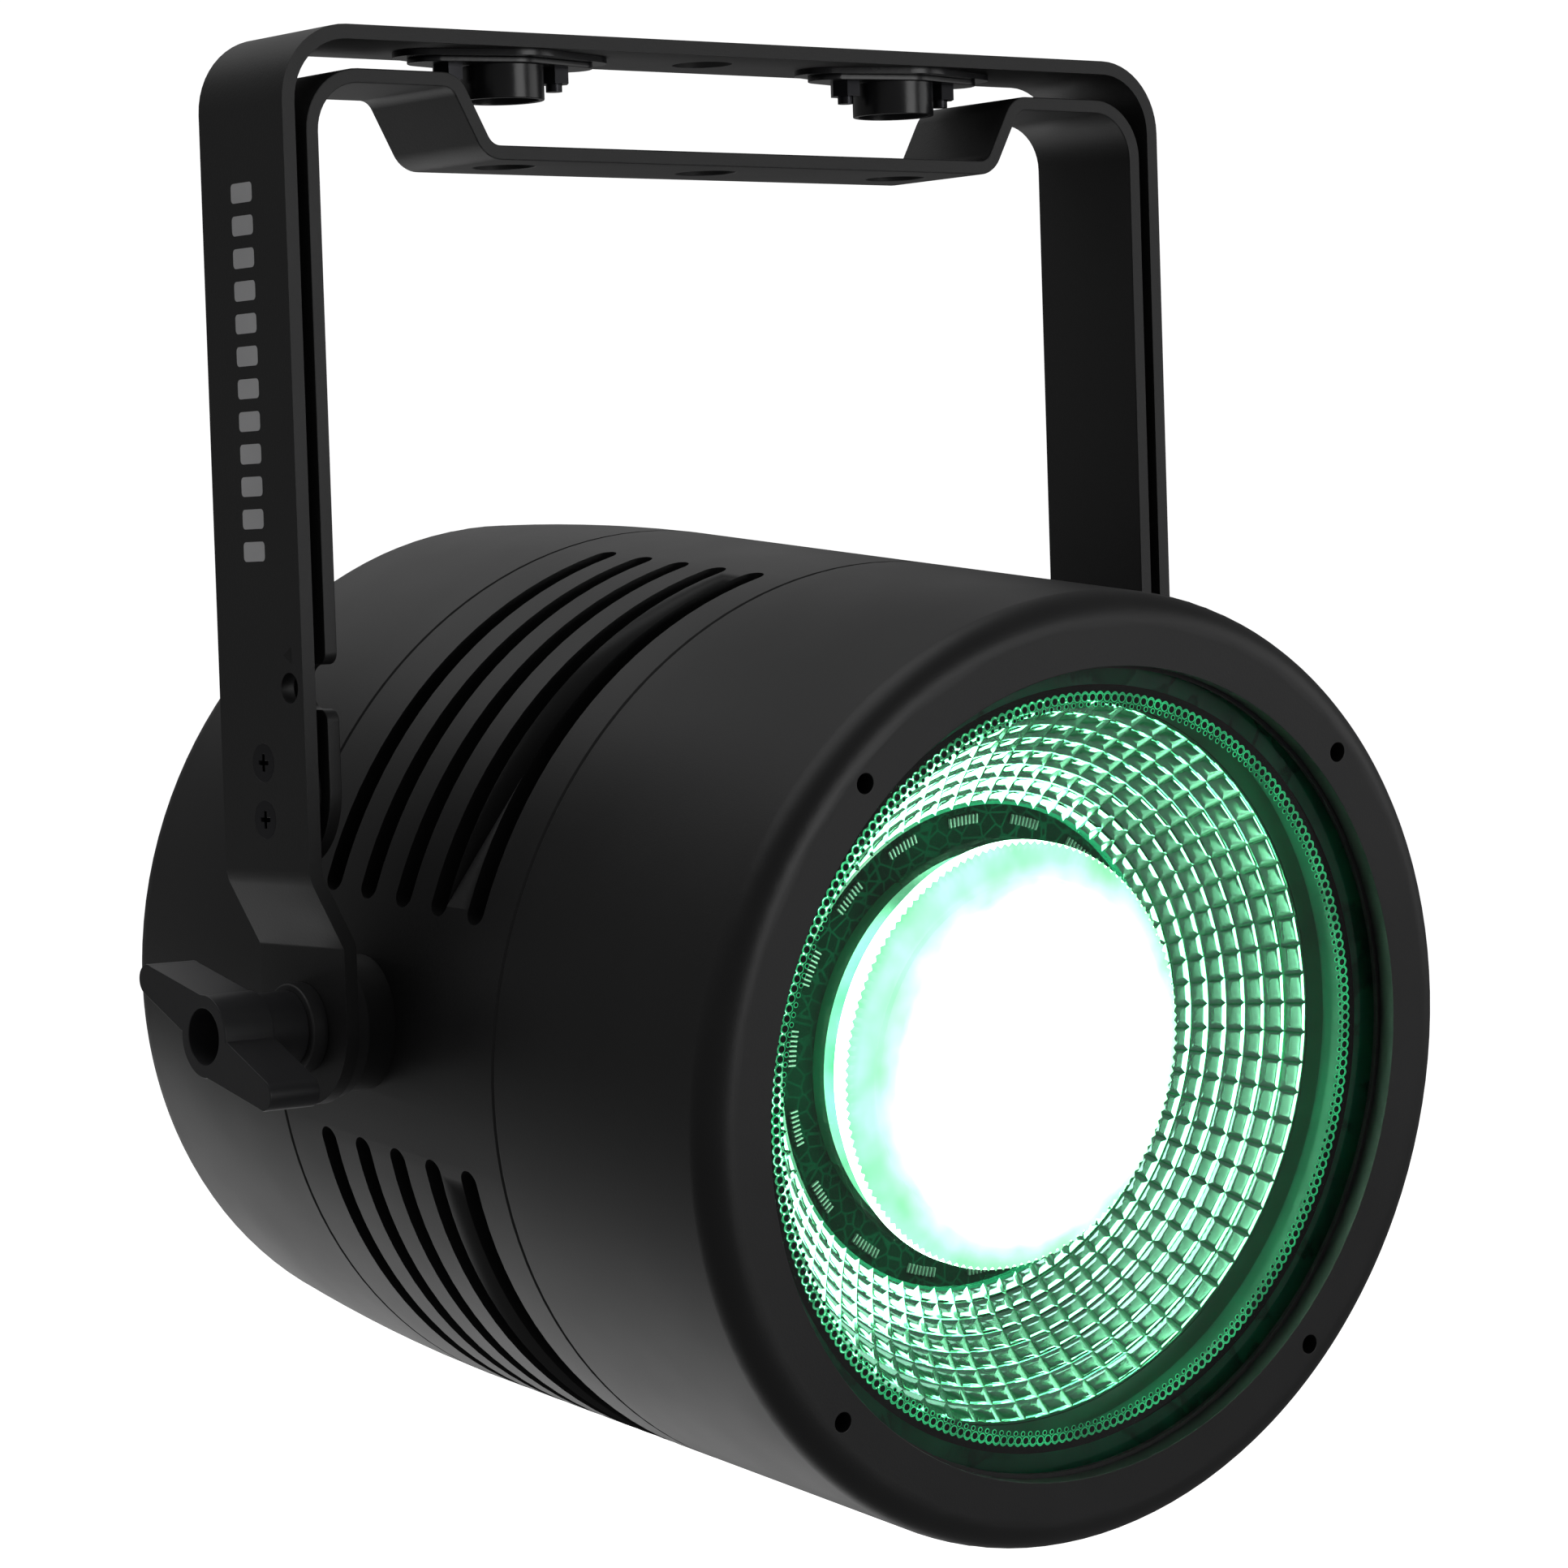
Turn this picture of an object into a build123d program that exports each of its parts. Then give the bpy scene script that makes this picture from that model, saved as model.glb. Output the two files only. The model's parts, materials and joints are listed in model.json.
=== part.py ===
from build123d import *
from math import cos, radians, sin
import os

os.makedirs("parts", exist_ok=True)

# A stage par light: a round lamp hung in a double yoke. Millimetres, +Z up, lens towards -Y.
# The origin is the clamp hole in the top bar, on the bar's upper face.

# ---- Yoke -------------------------------------------------------------------------------
yoke_width = 235.0           # outside the legs
yoke_drop = 203.0            # top face of the bar down to the tilt axis
bar_width = 32.0
bar_thickness = 3.0
yoke_bend = 16.0             # outside radius of the top corners
tab_inset = 7.5              # how far each lower tab is set in from its leg
joggle_top = 31.5            # above the tilt axis
joggle_bottom = 17.0
joggle_bend = 6.0
clamp_hole = 13.0            # clears an M12 clamp bolt
face_gap = 0.1               # between flat faces that slide on each other

# ---- Inner bracket, the second leg pair of the floor stand ---------------------------------
bracket_side_gap = 2.5       # outer leg to inner leg
bracket_top_gap = 5.8        # outer bar to the bracket's shoulders
bracket_bend = 13.0
strip_drop = 14.6            # shoulders down to the dropped strip
strip_bend = 5.0
shoulder_end = 75.5          # half width where the slopes start
strip_end = 67.5             # half width of the dropped strip
stand_spacing = 106.0        # outer holes of the dropped strip
hinge_rise = 48.7            # bracket hinge above the tilt axis
hinge_pin = 19.0
hinge_disc = 26.0
hinge_screw = 4.0
hinge_screw_head = 8.0
hinge_screw_spacing = 11.6
hinge_plate_thickness = 1.6
lock_rise = 69.7             # lock hole above the tilt axis
lock_forward = 11.0          # lock hole in front of the leg's middle
lock_hole = 6.2
notch_height = 9.0
running_gap = 0.08           # pins in their bores, radial

# ---- Quarter-turn receptacles -----------------------------------------------------------
lock_spacing = 106.0
lock_plate_length = 52.0
lock_plate_width = 27.0
lock_plate_end = 6.5         # radius of the plate's narrow ends
lock_plate_thickness = 1.2
lock_bore = 14.0
lock_cup = 18.0
lock_cup_wall = 1.2
lock_cup_height = 7.2
lock_screw_spacing = 27.0
lock_screw = 3.5
lock_nut_flats = 6.0
lock_nut_height = 3.2

# ---- Lamp body, measured along its own axis from the tilt axis, forward is plus ---------------
lamp_tilt = 6.0              # nose down from level
body_diameter = 194.0
body_wall = 3.0
face_at = 120.5
front_seam = 49.0
rear_seam = -32.0
rear_at = -98.0
rear_taper = 3.5             # how much the radius falls along the rear housing
rear_round = 7.0
front_round = 6.5
seam_chamfer = 0.5
spigot_length = 8.0
spigot_wall = 3.0
bezel_bore = 164.6
bezel_thickness = 4.0
accessory_circle = 176.0     # four tapped holes in the bezel
accessory_hole = 4.0
accessory_depth = 9.0
accessory_angle = 45.0

# ---- Vents ------------------------------------------------------------------------------
slot_width = 5.5
slot_pitch = 13.0
slot_count = 5
slot_centre = 10.0
slot_low = 15.0              # degrees from the tilt axis
slot_high = 76.0

# ---- Tilt pivots ------------------------------------------------------------------------
disc_diameter = 30.0
disc_thickness = 3.0
pivot_nut_flats = 13.0
pivot_nut_height = 6.5
stud_diameter = 8.0
stud_gap = 0.2               # round the stud in the tab and the friction disc
knob_length = 24.0
knob_hub = 17.0
knob_neck = 15.6             # behind the wings
knob_recess = 11.5
knob_recess_depth = 9.0
collar_diameter = 18.4
collar_thickness = 3.6
wing_depth = 11.6
wing_tip = 3.2
wing_reach = 24.0
wing_angle = 26.0            # rear wing up from level

# ---- Optics -----------------------------------------------------------------------------
glass_diameter = 170.0
glass_thickness = 4.0
gasket_thickness = 1.0
pocket_gap = 0.4             # round the glass
ring_depth = 5.0             # housing ring behind the glass
thread_depth = 4.0
baffle_screw = 3.0
reflector_mouth = 74.0       # radius
reflector_throat = 50.3
reflector_front = 101.0
reflector_back = 81.0
reflector_wall = 1.6
flange_drop = 4.0            # baffle and flange below the mouth
board_edge = 4.0             # screws in from the board's edge
board_screw = 3.0
board_screw_head = 5.6
baffle_bore = 78.0           # radius
board_radius = 62.0
board_thickness = 1.6
lens_radius = 44.3
lens_front = 94.0
lens_crown = 98.0
lens_dimple = 6.7
lens_back = 82.0
lens_cavity = 4.5
emitter_size = 44.0
emitter_disc = 19.0          # radius of the lit disc
emitter_plate = 1.2

# ---- Cooling and electronics ---------------------------------------------------------------
sink_radius = 80.0
sink_base_radius = 92.5
sink_base = 8.0
sink_length = 58.0
sink_core = 21.0
fin_count = 36
fin_thickness = 1.8
fan_size = 120.0
fan_depth = 25.0
fan_bore = 115.0
fan_hub = 40.0
fan_hole_spacing = 105.0
blade_count = 7
blade_gap = 1.5
blade_width = 15.0
blade_thickness = 1.4
fan_screw = 3.0
fan_screw_head = 6.8
fan_thread = 9.0             # into the heat sink
panel_at = -88.0
panel_thickness = 2.0
panel_radius = 84.2
panel_ledge = 78.0           # radius inside the ledge that the panel sits on
ledge_thickness = 4.0
panel_screw_circle = 162.4
panel_screw = 3.0
supply_size = (120.0, 74.0, 34.0)
plate_thickness = 2.0
plate_at = -62.0             # rear face of the mounting plate
plate_radius = 76.0
board_size = (100.0, 46.0)
board_y = 30.0               # control board above the lamp's axis
board_at = -80.0             # rear face of the control board
switch_height = 3.6
standoff_circle = 144.0
standoff_angle = 35.0
rod_circle = 177.6           # tie rods that draw the three housings together
rod_diameter = 3.0
rod_head = 5.5
rod_nut_flats = 5.5
rod_nut_height = 2.4
rod_gap = 0.3
rod_angle = 45.0
rod_head_at = -64.0
lug_radius = 6.0
lug_length = 8.0

# ---- Rear panel fittings, from the panel's centre: x to the right, y up ------------------------
display_size = (58.0, 22.0)
display_y = 40.0
button_y = 16.0
button_pitch = 18.0
button_diameter = 9.0
button_proud = 2.2
button_travel = 1.0
dmx_places = {"dmx_input": (-22.0, -14.0), "dmx_output": (22.0, -14.0)}
power_places = {"power_inlet": (-22.0, -50.0), "power_outlet": (22.0, -50.0)}
socket_diameter = 24.0
socket_flange = (26.0, 31.0)
socket_depth = 22.0
socket_screw_spacing = (19.0, 24.0)
socket_screw = 3.0
flange_thickness = 2.0
fuse_place = (58.0, -30.0)
fuse_diameter = 13.0
eye_y = 64.0
eye_spread = 20.0
eye_height = 12.0
eye_wire = 5.0
eye_bend = 7.0
exhaust_place = (58.0, 10.0)
exhaust_pitch = 7.0
exhaust_hole = 4.4
mouth_power = 19.5
mouth_dmx = 18.5
socket_floor = 4.0           # closed end behind the contacts

# ---- Worked-out values ---------------------------------------------------------------------
tilt_z = -yoke_drop
body_radius = body_diameter / 2
leg_x = (yoke_width - bar_thickness) / 2
tab_x = leg_x - tab_inset
tab_inner = tab_x - bar_thickness / 2
tab_outer = tab_x + bar_thickness / 2
bracket_x = leg_x - bar_thickness - bracket_side_gap
shoulder_z = -(1.5 * bar_thickness + bracket_top_gap)
strip_z = shoulder_z - strip_drop
hinge_z = tilt_z + hinge_rise
lock_z = tilt_z + lock_rise
disc_inner = tab_inner - face_gap - disc_thickness
glass_front = face_at - bezel_thickness - gasket_thickness
glass_back = glass_front - glass_thickness
sink_front = reflector_back - 2 * board_thickness
sink_back = sink_front - sink_base - sink_length
pocket_radius = glass_diameter / 2 + pocket_gap
ring_back = glass_back - ring_depth
screw_circle = 2 * (pocket_radius + 4.5)
fan_front = sink_back
fan_back = fan_front - fan_depth
inner_radius = body_radius - body_wall
spigot_radius = inner_radius - face_gap
nut_outer = spigot_radius - spigot_wall - 0.6
pivot = Vector(0, 0, tilt_z)
forward = Vector(0, -cos(radians(lamp_tilt)), -sin(radians(lamp_tilt)))
upward = Vector(0, -sin(radians(lamp_tilt)), cos(radians(lamp_tilt)))
lamp_axis = Axis(pivot, forward)
across = Plane(origin=pivot, x_dir=(1, 0, 0), z_dir=forward)   # x right, y up, normal forward
lengthwise = Plane(origin=pivot, x_dir=upward, z_dir=(1, 0, 0))  # x radius, y forward
sides = {"left": -1, "right": 1}


def keep(name, piece):
    """Label a finished piece and write its STEP."""
    piece.part.label = name
    export_step(piece.part, f"parts/{name}.step")


# ---- Outer yoke ----------------------------------------------------------------------------
half_run = [
    (tab_x, tilt_z - bar_width / 2),
    (tab_x, tilt_z + joggle_bottom),
    (leg_x, tilt_z + joggle_top),
    (leg_x, -bar_thickness / 2),
]
yoke_run = [(-x, z) for x, z in half_run] + half_run[::-1]
corner = yoke_bend - bar_thickness / 2
countersink = (hinge_screw_head - hinge_screw) / 2
leg_faces = [
    Plane(origin=(side * yoke_width / 2, 0, hinge_z), x_dir=(0, side, 0), z_dir=(side, 0, 0)) for side in (-1, 1)
]
with BuildPart() as outer_yoke:
    with BuildSketch(Plane.XZ):
        with BuildLine():
            FilletPolyline(*yoke_run, radius=[2.5, joggle_bend, corner, corner, joggle_bend, 2.5])
        trace(line_width=bar_thickness)
    extrude(amount=bar_width / 2, both=True)
    with BuildSketch(Plane.YZ):
        with Locations((0, tilt_z / 2)):
            Rectangle(bar_width, yoke_drop)
        with Locations((0, tilt_z)):
            Circle(bar_width / 2)
    extrude(amount=yoke_width, both=True, mode=Mode.INTERSECT)
    with BuildSketch(Plane.XY):
        Circle(clamp_hole / 2)
        with GridLocations(lock_spacing, 0, 2, 1):
            Circle(lock_bore / 2)
        for side in (-1, 1):
            with Locations((side * lock_spacing / 2, 0)):
                with GridLocations(lock_screw_spacing, 0, 2, 1):
                    Circle(lock_screw / 2)
    extrude(amount=-2 * bar_thickness, mode=Mode.SUBTRACT)
    with BuildSketch(Plane.YZ):
        with Locations((0, tilt_z)):
            Circle(stud_diameter / 2 + stud_gap)
        with Locations((-lock_forward, lock_z)):
            Circle(lock_hole / 2)
        with Locations((0, hinge_z)):
            with GridLocations(0, hinge_screw_spacing, 1, 2):
                Circle(hinge_screw / 2)
    extrude(amount=yoke_width, both=True, mode=Mode.SUBTRACT)
    for leg in leg_faces:
        with BuildSketch(leg):
            with GridLocations(0, hinge_screw_spacing, 1, 2):
                Circle(hinge_screw_head / 2)
        extrude(amount=-countersink, taper=45, mode=Mode.SUBTRACT)
keep("outer_yoke", outer_yoke)

# ---- Inner bracket --------------------------------------------------------------------------
half_bracket = [
    (bracket_x, hinge_z - bar_width / 2),
    (bracket_x, shoulder_z),
    (shoulder_end, shoulder_z),
    (strip_end, strip_z),
]
bracket_run = [(-x, z) for x, z in half_bracket] + half_bracket[::-1]
bracket_corner = bracket_bend - bar_thickness / 2
with BuildPart() as inner_bracket:
    with BuildSketch(Plane.XZ):
        with BuildLine():
            FilletPolyline(
                *bracket_run,
                radius=[bracket_corner, strip_bend, strip_bend, strip_bend, strip_bend, bracket_corner],
            )
        trace(line_width=bar_thickness)
    extrude(amount=bar_width / 2, both=True)
    with BuildSketch(Plane.YZ):
        with Locations((0, hinge_z / 2)):
            Rectangle(bar_width, -hinge_z)
        with Locations((0, hinge_z)):
            Circle(bar_width / 2)
        with Locations((-lock_forward, lock_z)):
            Circle(notch_height / 2, mode=Mode.SUBTRACT)
        with Locations((-lock_forward - bar_width / 2, lock_z)):
            Rectangle(bar_width, notch_height, mode=Mode.SUBTRACT)
    extrude(amount=yoke_width, both=True, mode=Mode.INTERSECT)
    with BuildSketch(Plane.XY.offset(strip_z)):
        Circle(clamp_hole / 2)
        with GridLocations(stand_spacing, 0, 2, 1):
            Circle(clamp_hole / 2)
    extrude(amount=bar_thickness, both=True, mode=Mode.SUBTRACT)
    with BuildSketch(Plane.YZ):
        with Locations((0, hinge_z)):
            Circle(hinge_pin / 2 + running_gap)
    extrude(amount=yoke_width, both=True, mode=Mode.SUBTRACT)
    mouth = inner_bracket.edges().filter_by(Axis.X)
    mouth = mouth.filter_by_position(Axis.Y, -bar_width / 2 - 0.1, -bar_width / 2 + 0.1)
    mouth = mouth.filter_by_position(Axis.Z, lock_z - notch_height, lock_z + notch_height)
    fillet(mouth, radius=2.5)
keep("inner_bracket", inner_bracket)

# ---- Bracket hinges: a spacer with a pin, held by two countersunk screws and a plate ----------
leg_inner = leg_x - bar_thickness / 2
bracket_inner = bracket_x - bar_thickness / 2
pin_end = bracket_inner - face_gap
hinge_planes = [
    Plane(origin=(side * leg_inner, 0, hinge_z), x_dir=(0, side, 0), z_dir=(-side, 0, 0)) for side in (-1, 1)
]
with BuildPart() as hinge_blocks:
    for leg in hinge_planes:
        with BuildSketch(leg):
            Circle(hinge_disc / 2)
        extrude(amount=bracket_side_gap - face_gap)
        with BuildSketch(leg):
            Circle(hinge_pin / 2)
        extrude(amount=leg_inner - pin_end)
        with BuildSketch(leg):
            with GridLocations(0, hinge_screw_spacing, 1, 2):
                Circle(hinge_screw / 2)
        extrude(amount=leg_inner - pin_end, mode=Mode.SUBTRACT)
keep("hinge_blocks", hinge_blocks)

with BuildPart() as hinge_plates:
    for leg in hinge_planes:
        with BuildSketch(leg.offset(leg_inner - pin_end)):
            Circle(hinge_disc / 2)
            with GridLocations(0, hinge_screw_spacing, 1, 2):
                Circle(hinge_screw / 2, mode=Mode.SUBTRACT)
        extrude(amount=hinge_plate_thickness)
keep("hinge_plates", hinge_plates)

with BuildPart() as hinge_screws:
    for leg in leg_faces:
        with BuildSketch(leg):
            with GridLocations(0, hinge_screw_spacing, 1, 2):
                Circle(hinge_screw_head / 2)
        extrude(amount=-countersink, taper=45)
        with BuildSketch(leg):
            with GridLocations(0, hinge_screw_spacing, 1, 2):
                Circle(hinge_screw / 2)
        extrude(amount=-(yoke_width / 2 - pin_end + hinge_plate_thickness))
        with BuildSketch(leg):
            with GridLocations(0, hinge_screw_spacing, 1, 2):
                Rectangle(0.45 * hinge_screw_head, 0.11 * hinge_screw_head)
                Rectangle(0.11 * hinge_screw_head, 0.45 * hinge_screw_head)
        extrude(amount=-0.7 * countersink, mode=Mode.SUBTRACT)
keep("hinge_screws", hinge_screws)

# ---- Quarter-turn receptacles under the top bar ----------------------------------------------
plate_top = -bar_thickness
cup_top = plate_top - lock_plate_thickness
for name, side in sides.items():
    middle = (side * lock_spacing / 2, 0)
    with BuildPart() as lock_plate:
        with BuildSketch(Plane.XY.offset(plate_top)):
            with Locations(middle):
                Circle(lock_plate_width / 2)
                with GridLocations(lock_plate_length - 2 * lock_plate_end, 0, 2, 1):
                    Circle(lock_plate_end)
            make_hull()
            with Locations(middle):
                Circle(lock_bore / 2, mode=Mode.SUBTRACT)
                with GridLocations(lock_screw_spacing, 0, 2, 1):
                    Circle(lock_screw / 2, mode=Mode.SUBTRACT)
        extrude(amount=-lock_plate_thickness)
    keep(f"lock_plate_{name}", lock_plate)

    with BuildPart() as lock_cam:
        with BuildSketch(Plane.XY.offset(cup_top)):
            with Locations(middle):
                Circle(lock_cup / 2 + 1.0)
                with GridLocations(lock_plate_length - 2 * lock_plate_end - 5.0, 0, 2, 1):
                    Circle(lock_plate_end - 1.0)
            make_hull()
            with Locations(middle):
                Circle(lock_bore / 2, mode=Mode.SUBTRACT)
                with GridLocations(lock_screw_spacing, 0, 2, 1):
                    Circle(lock_screw / 2, mode=Mode.SUBTRACT)
        extrude(amount=-lock_plate_thickness)
        with BuildSketch(Plane.XY.offset(cup_top - lock_plate_thickness)):
            with Locations(middle):
                Circle(lock_cup / 2)
                Circle(lock_cup / 2 - lock_cup_wall, mode=Mode.SUBTRACT)
        extrude(amount=-lock_cup_height)
        # The lower rim runs in waves: two ramps and a pointed stop.
        with BuildSketch(Plane.XZ):
            with Locations((middle[0], cup_top - lock_plate_thickness - lock_cup_height)):
                reach = lock_cup / 2 + 0.6
                high = 0.97 * lock_cup_height
                low = 0.39 * lock_cup_height
                with BuildLine():
                    Spline(
                        (-reach, high),
                        (-0.44 * reach, 0.26 * lock_cup_height),
                        (-0.08 * reach, 0.58 * lock_cup_height),
                        (0.2 * reach, 0.43 * lock_cup_height),
                        (0.38 * reach, 0),
                    )
                    Polyline(
                        (0.38 * reach, 0),
                        (0.48 * reach, low),
                        (reach, high),
                        (reach + 2, high),
                        (reach + 2, -1),
                        (-reach - 2, -1),
                        (-reach - 2, high),
                        (-reach, high),
                    )
                make_face()
        extrude(amount=lock_cup, both=True, mode=Mode.SUBTRACT)
    keep(f"lock_cam_{name}", lock_cam)

nut_top = cup_top - lock_plate_thickness
screw_places = [
    (side * lock_spacing / 2 + end * lock_screw_spacing / 2, 0) for side in (-1, 1) for end in (-1, 1)
]
with BuildPart() as lock_screws:
    with BuildSketch(Plane.XY):
        with Locations(*screw_places):
            Circle(lock_screw / 2)
    extrude(amount=-(bar_thickness + 2 * lock_plate_thickness + lock_nut_height + 1.6))
    with BuildSketch(Plane.XY):
        with Locations(*screw_places):
            Circle(lock_screw)
    extrude(amount=1.4)
    fillet(lock_screws.edges().group_by(Axis.Z)[-1], radius=1.0)
keep("lock_screws", lock_screws)

with BuildPart() as lock_nuts:
    with BuildSketch(Plane.XY.offset(nut_top)):
        with Locations(*screw_places):
            RegularPolygon(lock_nut_flats / 2, 6, major_radius=False)
            Circle(lock_screw / 2, mode=Mode.SUBTRACT)
    extrude(amount=-lock_nut_height)
keep("lock_nuts", lock_nuts)

# ---- Front housing: a tube with the bezel turned in over the glass ---------------------------
with BuildPart() as front_housing:
    with BuildSketch(lengthwise):
        with BuildLine():
            Polyline(
                (body_radius - seam_chamfer, front_seam),
                (body_radius, front_seam + seam_chamfer),
                (body_radius, face_at - front_round),
            )
            RadiusArc((body_radius, face_at - front_round), (body_radius - front_round, face_at), -front_round)
            Polyline(
                (body_radius - front_round, face_at),
                (bezel_bore / 2, face_at),
                (bezel_bore / 2, face_at - bezel_thickness),
                (pocket_radius, face_at - bezel_thickness),
                (pocket_radius, ring_back),
                (inner_radius - 1.2, ring_back),
                (inner_radius, ring_back - 1.2),
                (inner_radius, front_seam),
                (body_radius - seam_chamfer, front_seam),
            )
        make_face()
    revolve(axis=lamp_axis)
    with BuildSketch(across.offset(face_at)):
        with PolarLocations(accessory_circle / 2, 4, start_angle=accessory_angle):
            Circle(accessory_hole / 2)
    extrude(amount=-accessory_depth, mode=Mode.SUBTRACT)
    with BuildSketch(across.offset(ring_back)):
        with PolarLocations(rod_circle / 2, 4, start_angle=rod_angle):
            Circle(rod_diameter / 2)
        with PolarLocations(screw_circle / 2, 6, start_angle=30):
            Circle(baffle_screw / 2)
    extrude(amount=thread_depth, mode=Mode.SUBTRACT)
keep("front_housing", front_housing)

# ---- Vented band between the two housings ---------------------------------------------------
slot_span = slot_high - slot_low
with BuildPart() as slot_cutter:
    with BuildSketch():
        with BuildLine():
            CenterArc((0, 0), body_radius, slot_low, slot_span)
        trace(line_width=6 * body_wall)
    extrude(amount=slot_width / 2, both=True)
    round_ends = slot_cutter.edges().filter_by(GeomType.LINE).filter_by(Axis.Z, reverse=True)
    fillet(round_ends, radius=0.499 * slot_width)

slot_turns = [0, 180, -slot_low - slot_high, 180 - slot_low - slot_high]
slot_steps = [slot_centre + (step - (slot_count - 1) / 2) * slot_pitch for step in range(slot_count)]
slot_places = [
    across.offset(step).location * Location((0, 0, 0), (0, 0, turn)) for step in slot_steps for turn in slot_turns
]
with BuildPart() as vent_band:
    with BuildSketch(lengthwise):
        with BuildLine():
            Polyline(
                (body_radius - seam_chamfer, rear_seam),
                (body_radius, rear_seam + seam_chamfer),
                (body_radius, front_seam - seam_chamfer),
                (body_radius - seam_chamfer, front_seam),
                (spigot_radius, front_seam),
                (spigot_radius, front_seam + spigot_length),
                (spigot_radius - spigot_wall, front_seam + spigot_length),
                (spigot_radius - spigot_wall, rear_seam - spigot_length),
                (spigot_radius, rear_seam - spigot_length),
                (spigot_radius, rear_seam),
                (body_radius - seam_chamfer, rear_seam),
            )
        make_face()
    revolve(axis=lamp_axis)
    with Locations(*slot_places):
        add(slot_cutter.part, mode=Mode.SUBTRACT)
    for side in (-1, 1):
        boss = Plane(origin=(side * disc_inner, 0, tilt_z), x_dir=(0, side, 0), z_dir=(side, 0, 0))
        with BuildSketch(boss):
            Circle(disc_diameter / 2 - 1.0)
        extrude(amount=-(disc_inner - nut_outer))
        with BuildSketch(boss):
            Circle(stud_diameter / 2 + running_gap)
        extrude(amount=-disc_diameter, mode=Mode.SUBTRACT)
keep("vent_band", vent_band)

# ---- Rear housing: a cup whose rim stands past the rear panel ---------------------------------
rear_radius = body_radius - rear_taper
taper_start = (body_radius, rear_seam - seam_chamfer)
taper_end = (rear_radius, rear_at + rear_round)
recess_radius = panel_radius + pocket_gap
with BuildPart() as rear_housing:
    with BuildSketch(lengthwise):
        with BuildLine():
            Polyline((inner_radius, rear_seam), (body_radius - seam_chamfer, rear_seam), taper_start)
            ThreePointArc(
                taper_start,
                (body_radius - 0.3 * rear_taper, (taper_start[1] + taper_end[1]) / 2),
                taper_end,
            )
            RadiusArc(taper_end, (rear_radius - rear_round, rear_at), rear_round)
            Polyline(
                (rear_radius - rear_round, rear_at),
                (recess_radius, rear_at),
                (recess_radius, panel_at),
                (panel_ledge, panel_at),
                (panel_ledge, panel_at + ledge_thickness),
                (rear_radius - body_wall, panel_at + ledge_thickness),
                (rear_radius - body_wall, rear_seam - spigot_length - 6.0),
                (inner_radius, rear_seam - spigot_length - 2.0),
                (inner_radius, rear_seam),
            )
        make_face()
    revolve(axis=lamp_axis)
    with BuildSketch(across.offset(rod_head_at)):
        with PolarLocations(rod_circle / 2, 4, start_angle=rod_angle):
            Circle(lug_radius)
        Circle(rear_radius - body_wall / 2, mode=Mode.INTERSECT)
    extrude(amount=lug_length)
    with BuildSketch(across.offset(rod_head_at)):
        with PolarLocations(rod_circle / 2, 4, start_angle=rod_angle):
            Circle(rod_diameter / 2 + rod_gap)
    extrude(amount=lug_length, mode=Mode.SUBTRACT)
    with BuildSketch(across.offset(rod_head_at)):
        with PolarLocations(rod_circle / 2, 4, start_angle=rod_angle):
            Circle(rod_head / 2 + rod_gap)
    extrude(amount=-lug_length, mode=Mode.SUBTRACT)
    with BuildSketch(across.offset(panel_at)):
        with PolarLocations(panel_screw_circle / 2, 6, start_angle=30):
            Circle(panel_screw / 2)
    extrude(amount=ledge_thickness, mode=Mode.SUBTRACT)
keep("rear_housing", rear_housing)

# ---- Tilt pivots: friction disc, stud, collar, hand knob and nut on each side --------------------
wing_run = wing_reach * cos(radians(wing_angle))
wing_lift = wing_reach * sin(radians(wing_angle))
for name, side in sides.items():
    out = Plane(origin=(0, 0, tilt_z), x_dir=(0, side, 0), z_dir=(side, 0, 0))
    collar_inner = tab_outer + face_gap
    with BuildPart() as knob_collar:
        with BuildSketch(out.offset(collar_inner)):
            Circle(collar_diameter / 2)
            Circle(stud_diameter / 2, mode=Mode.SUBTRACT)
        extrude(amount=collar_thickness)
        rim = knob_collar.edges().group_by(Axis.X)[-1 if side > 0 else 0].sort_by(SortBy.RADIUS)[-1]
        fillet(rim, radius=0.5)
    keep(f"knob_collar_{name}", knob_collar)

    hub_inner = collar_inner + collar_thickness
    knob_face = tab_outer + knob_length
    with BuildPart() as tilt_knob:
        with BuildSketch(out.offset(hub_inner)):
            Circle(knob_neck / 2)
        extrude(amount=knob_face - hub_inner)
        with BuildSketch(out.offset(knob_face)):
            Circle(knob_hub / 2)
            for end in (-1, 1):
                along = Vector(side * wing_run, wing_lift).normalized() * end
                flank = Vector(-along.Y, along.X) * side
                tip = along * wing_reach
                with BuildLine():
                    Polyline(
                        tip + flank * wing_tip,
                        flank * (knob_hub / 2 - 0.3),
                        (0, 0),
                        along * (knob_hub / 2 - 0.3) - flank * wing_tip,
                        tip - flank * wing_tip,
                        tip + flank * wing_tip,
                    )
                make_face()
                with Locations((tip.X, tip.Y)):
                    Circle(wing_tip)
        extrude(amount=-wing_depth)
        with BuildSketch(out.offset(knob_face)):
            Circle(knob_recess / 2)
        extrude(amount=-knob_recess_depth, mode=Mode.SUBTRACT)
        with BuildSketch(out.offset(knob_face)):
            Circle(stud_diameter / 2)
        extrude(amount=-knob_length, mode=Mode.SUBTRACT)
    keep(f"tilt_knob_{name}", tilt_knob)

    with BuildPart() as tilt_stud:
        with BuildSketch(out.offset(nut_outer - 9.0)):
            Circle(stud_diameter / 2)
        extrude(amount=knob_face - knob_recess_depth + 2.0 - nut_outer + 9.0)
        chamfer(tilt_stud.edges(), 0.8)
    keep(f"tilt_stud_{name}", tilt_stud)

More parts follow.
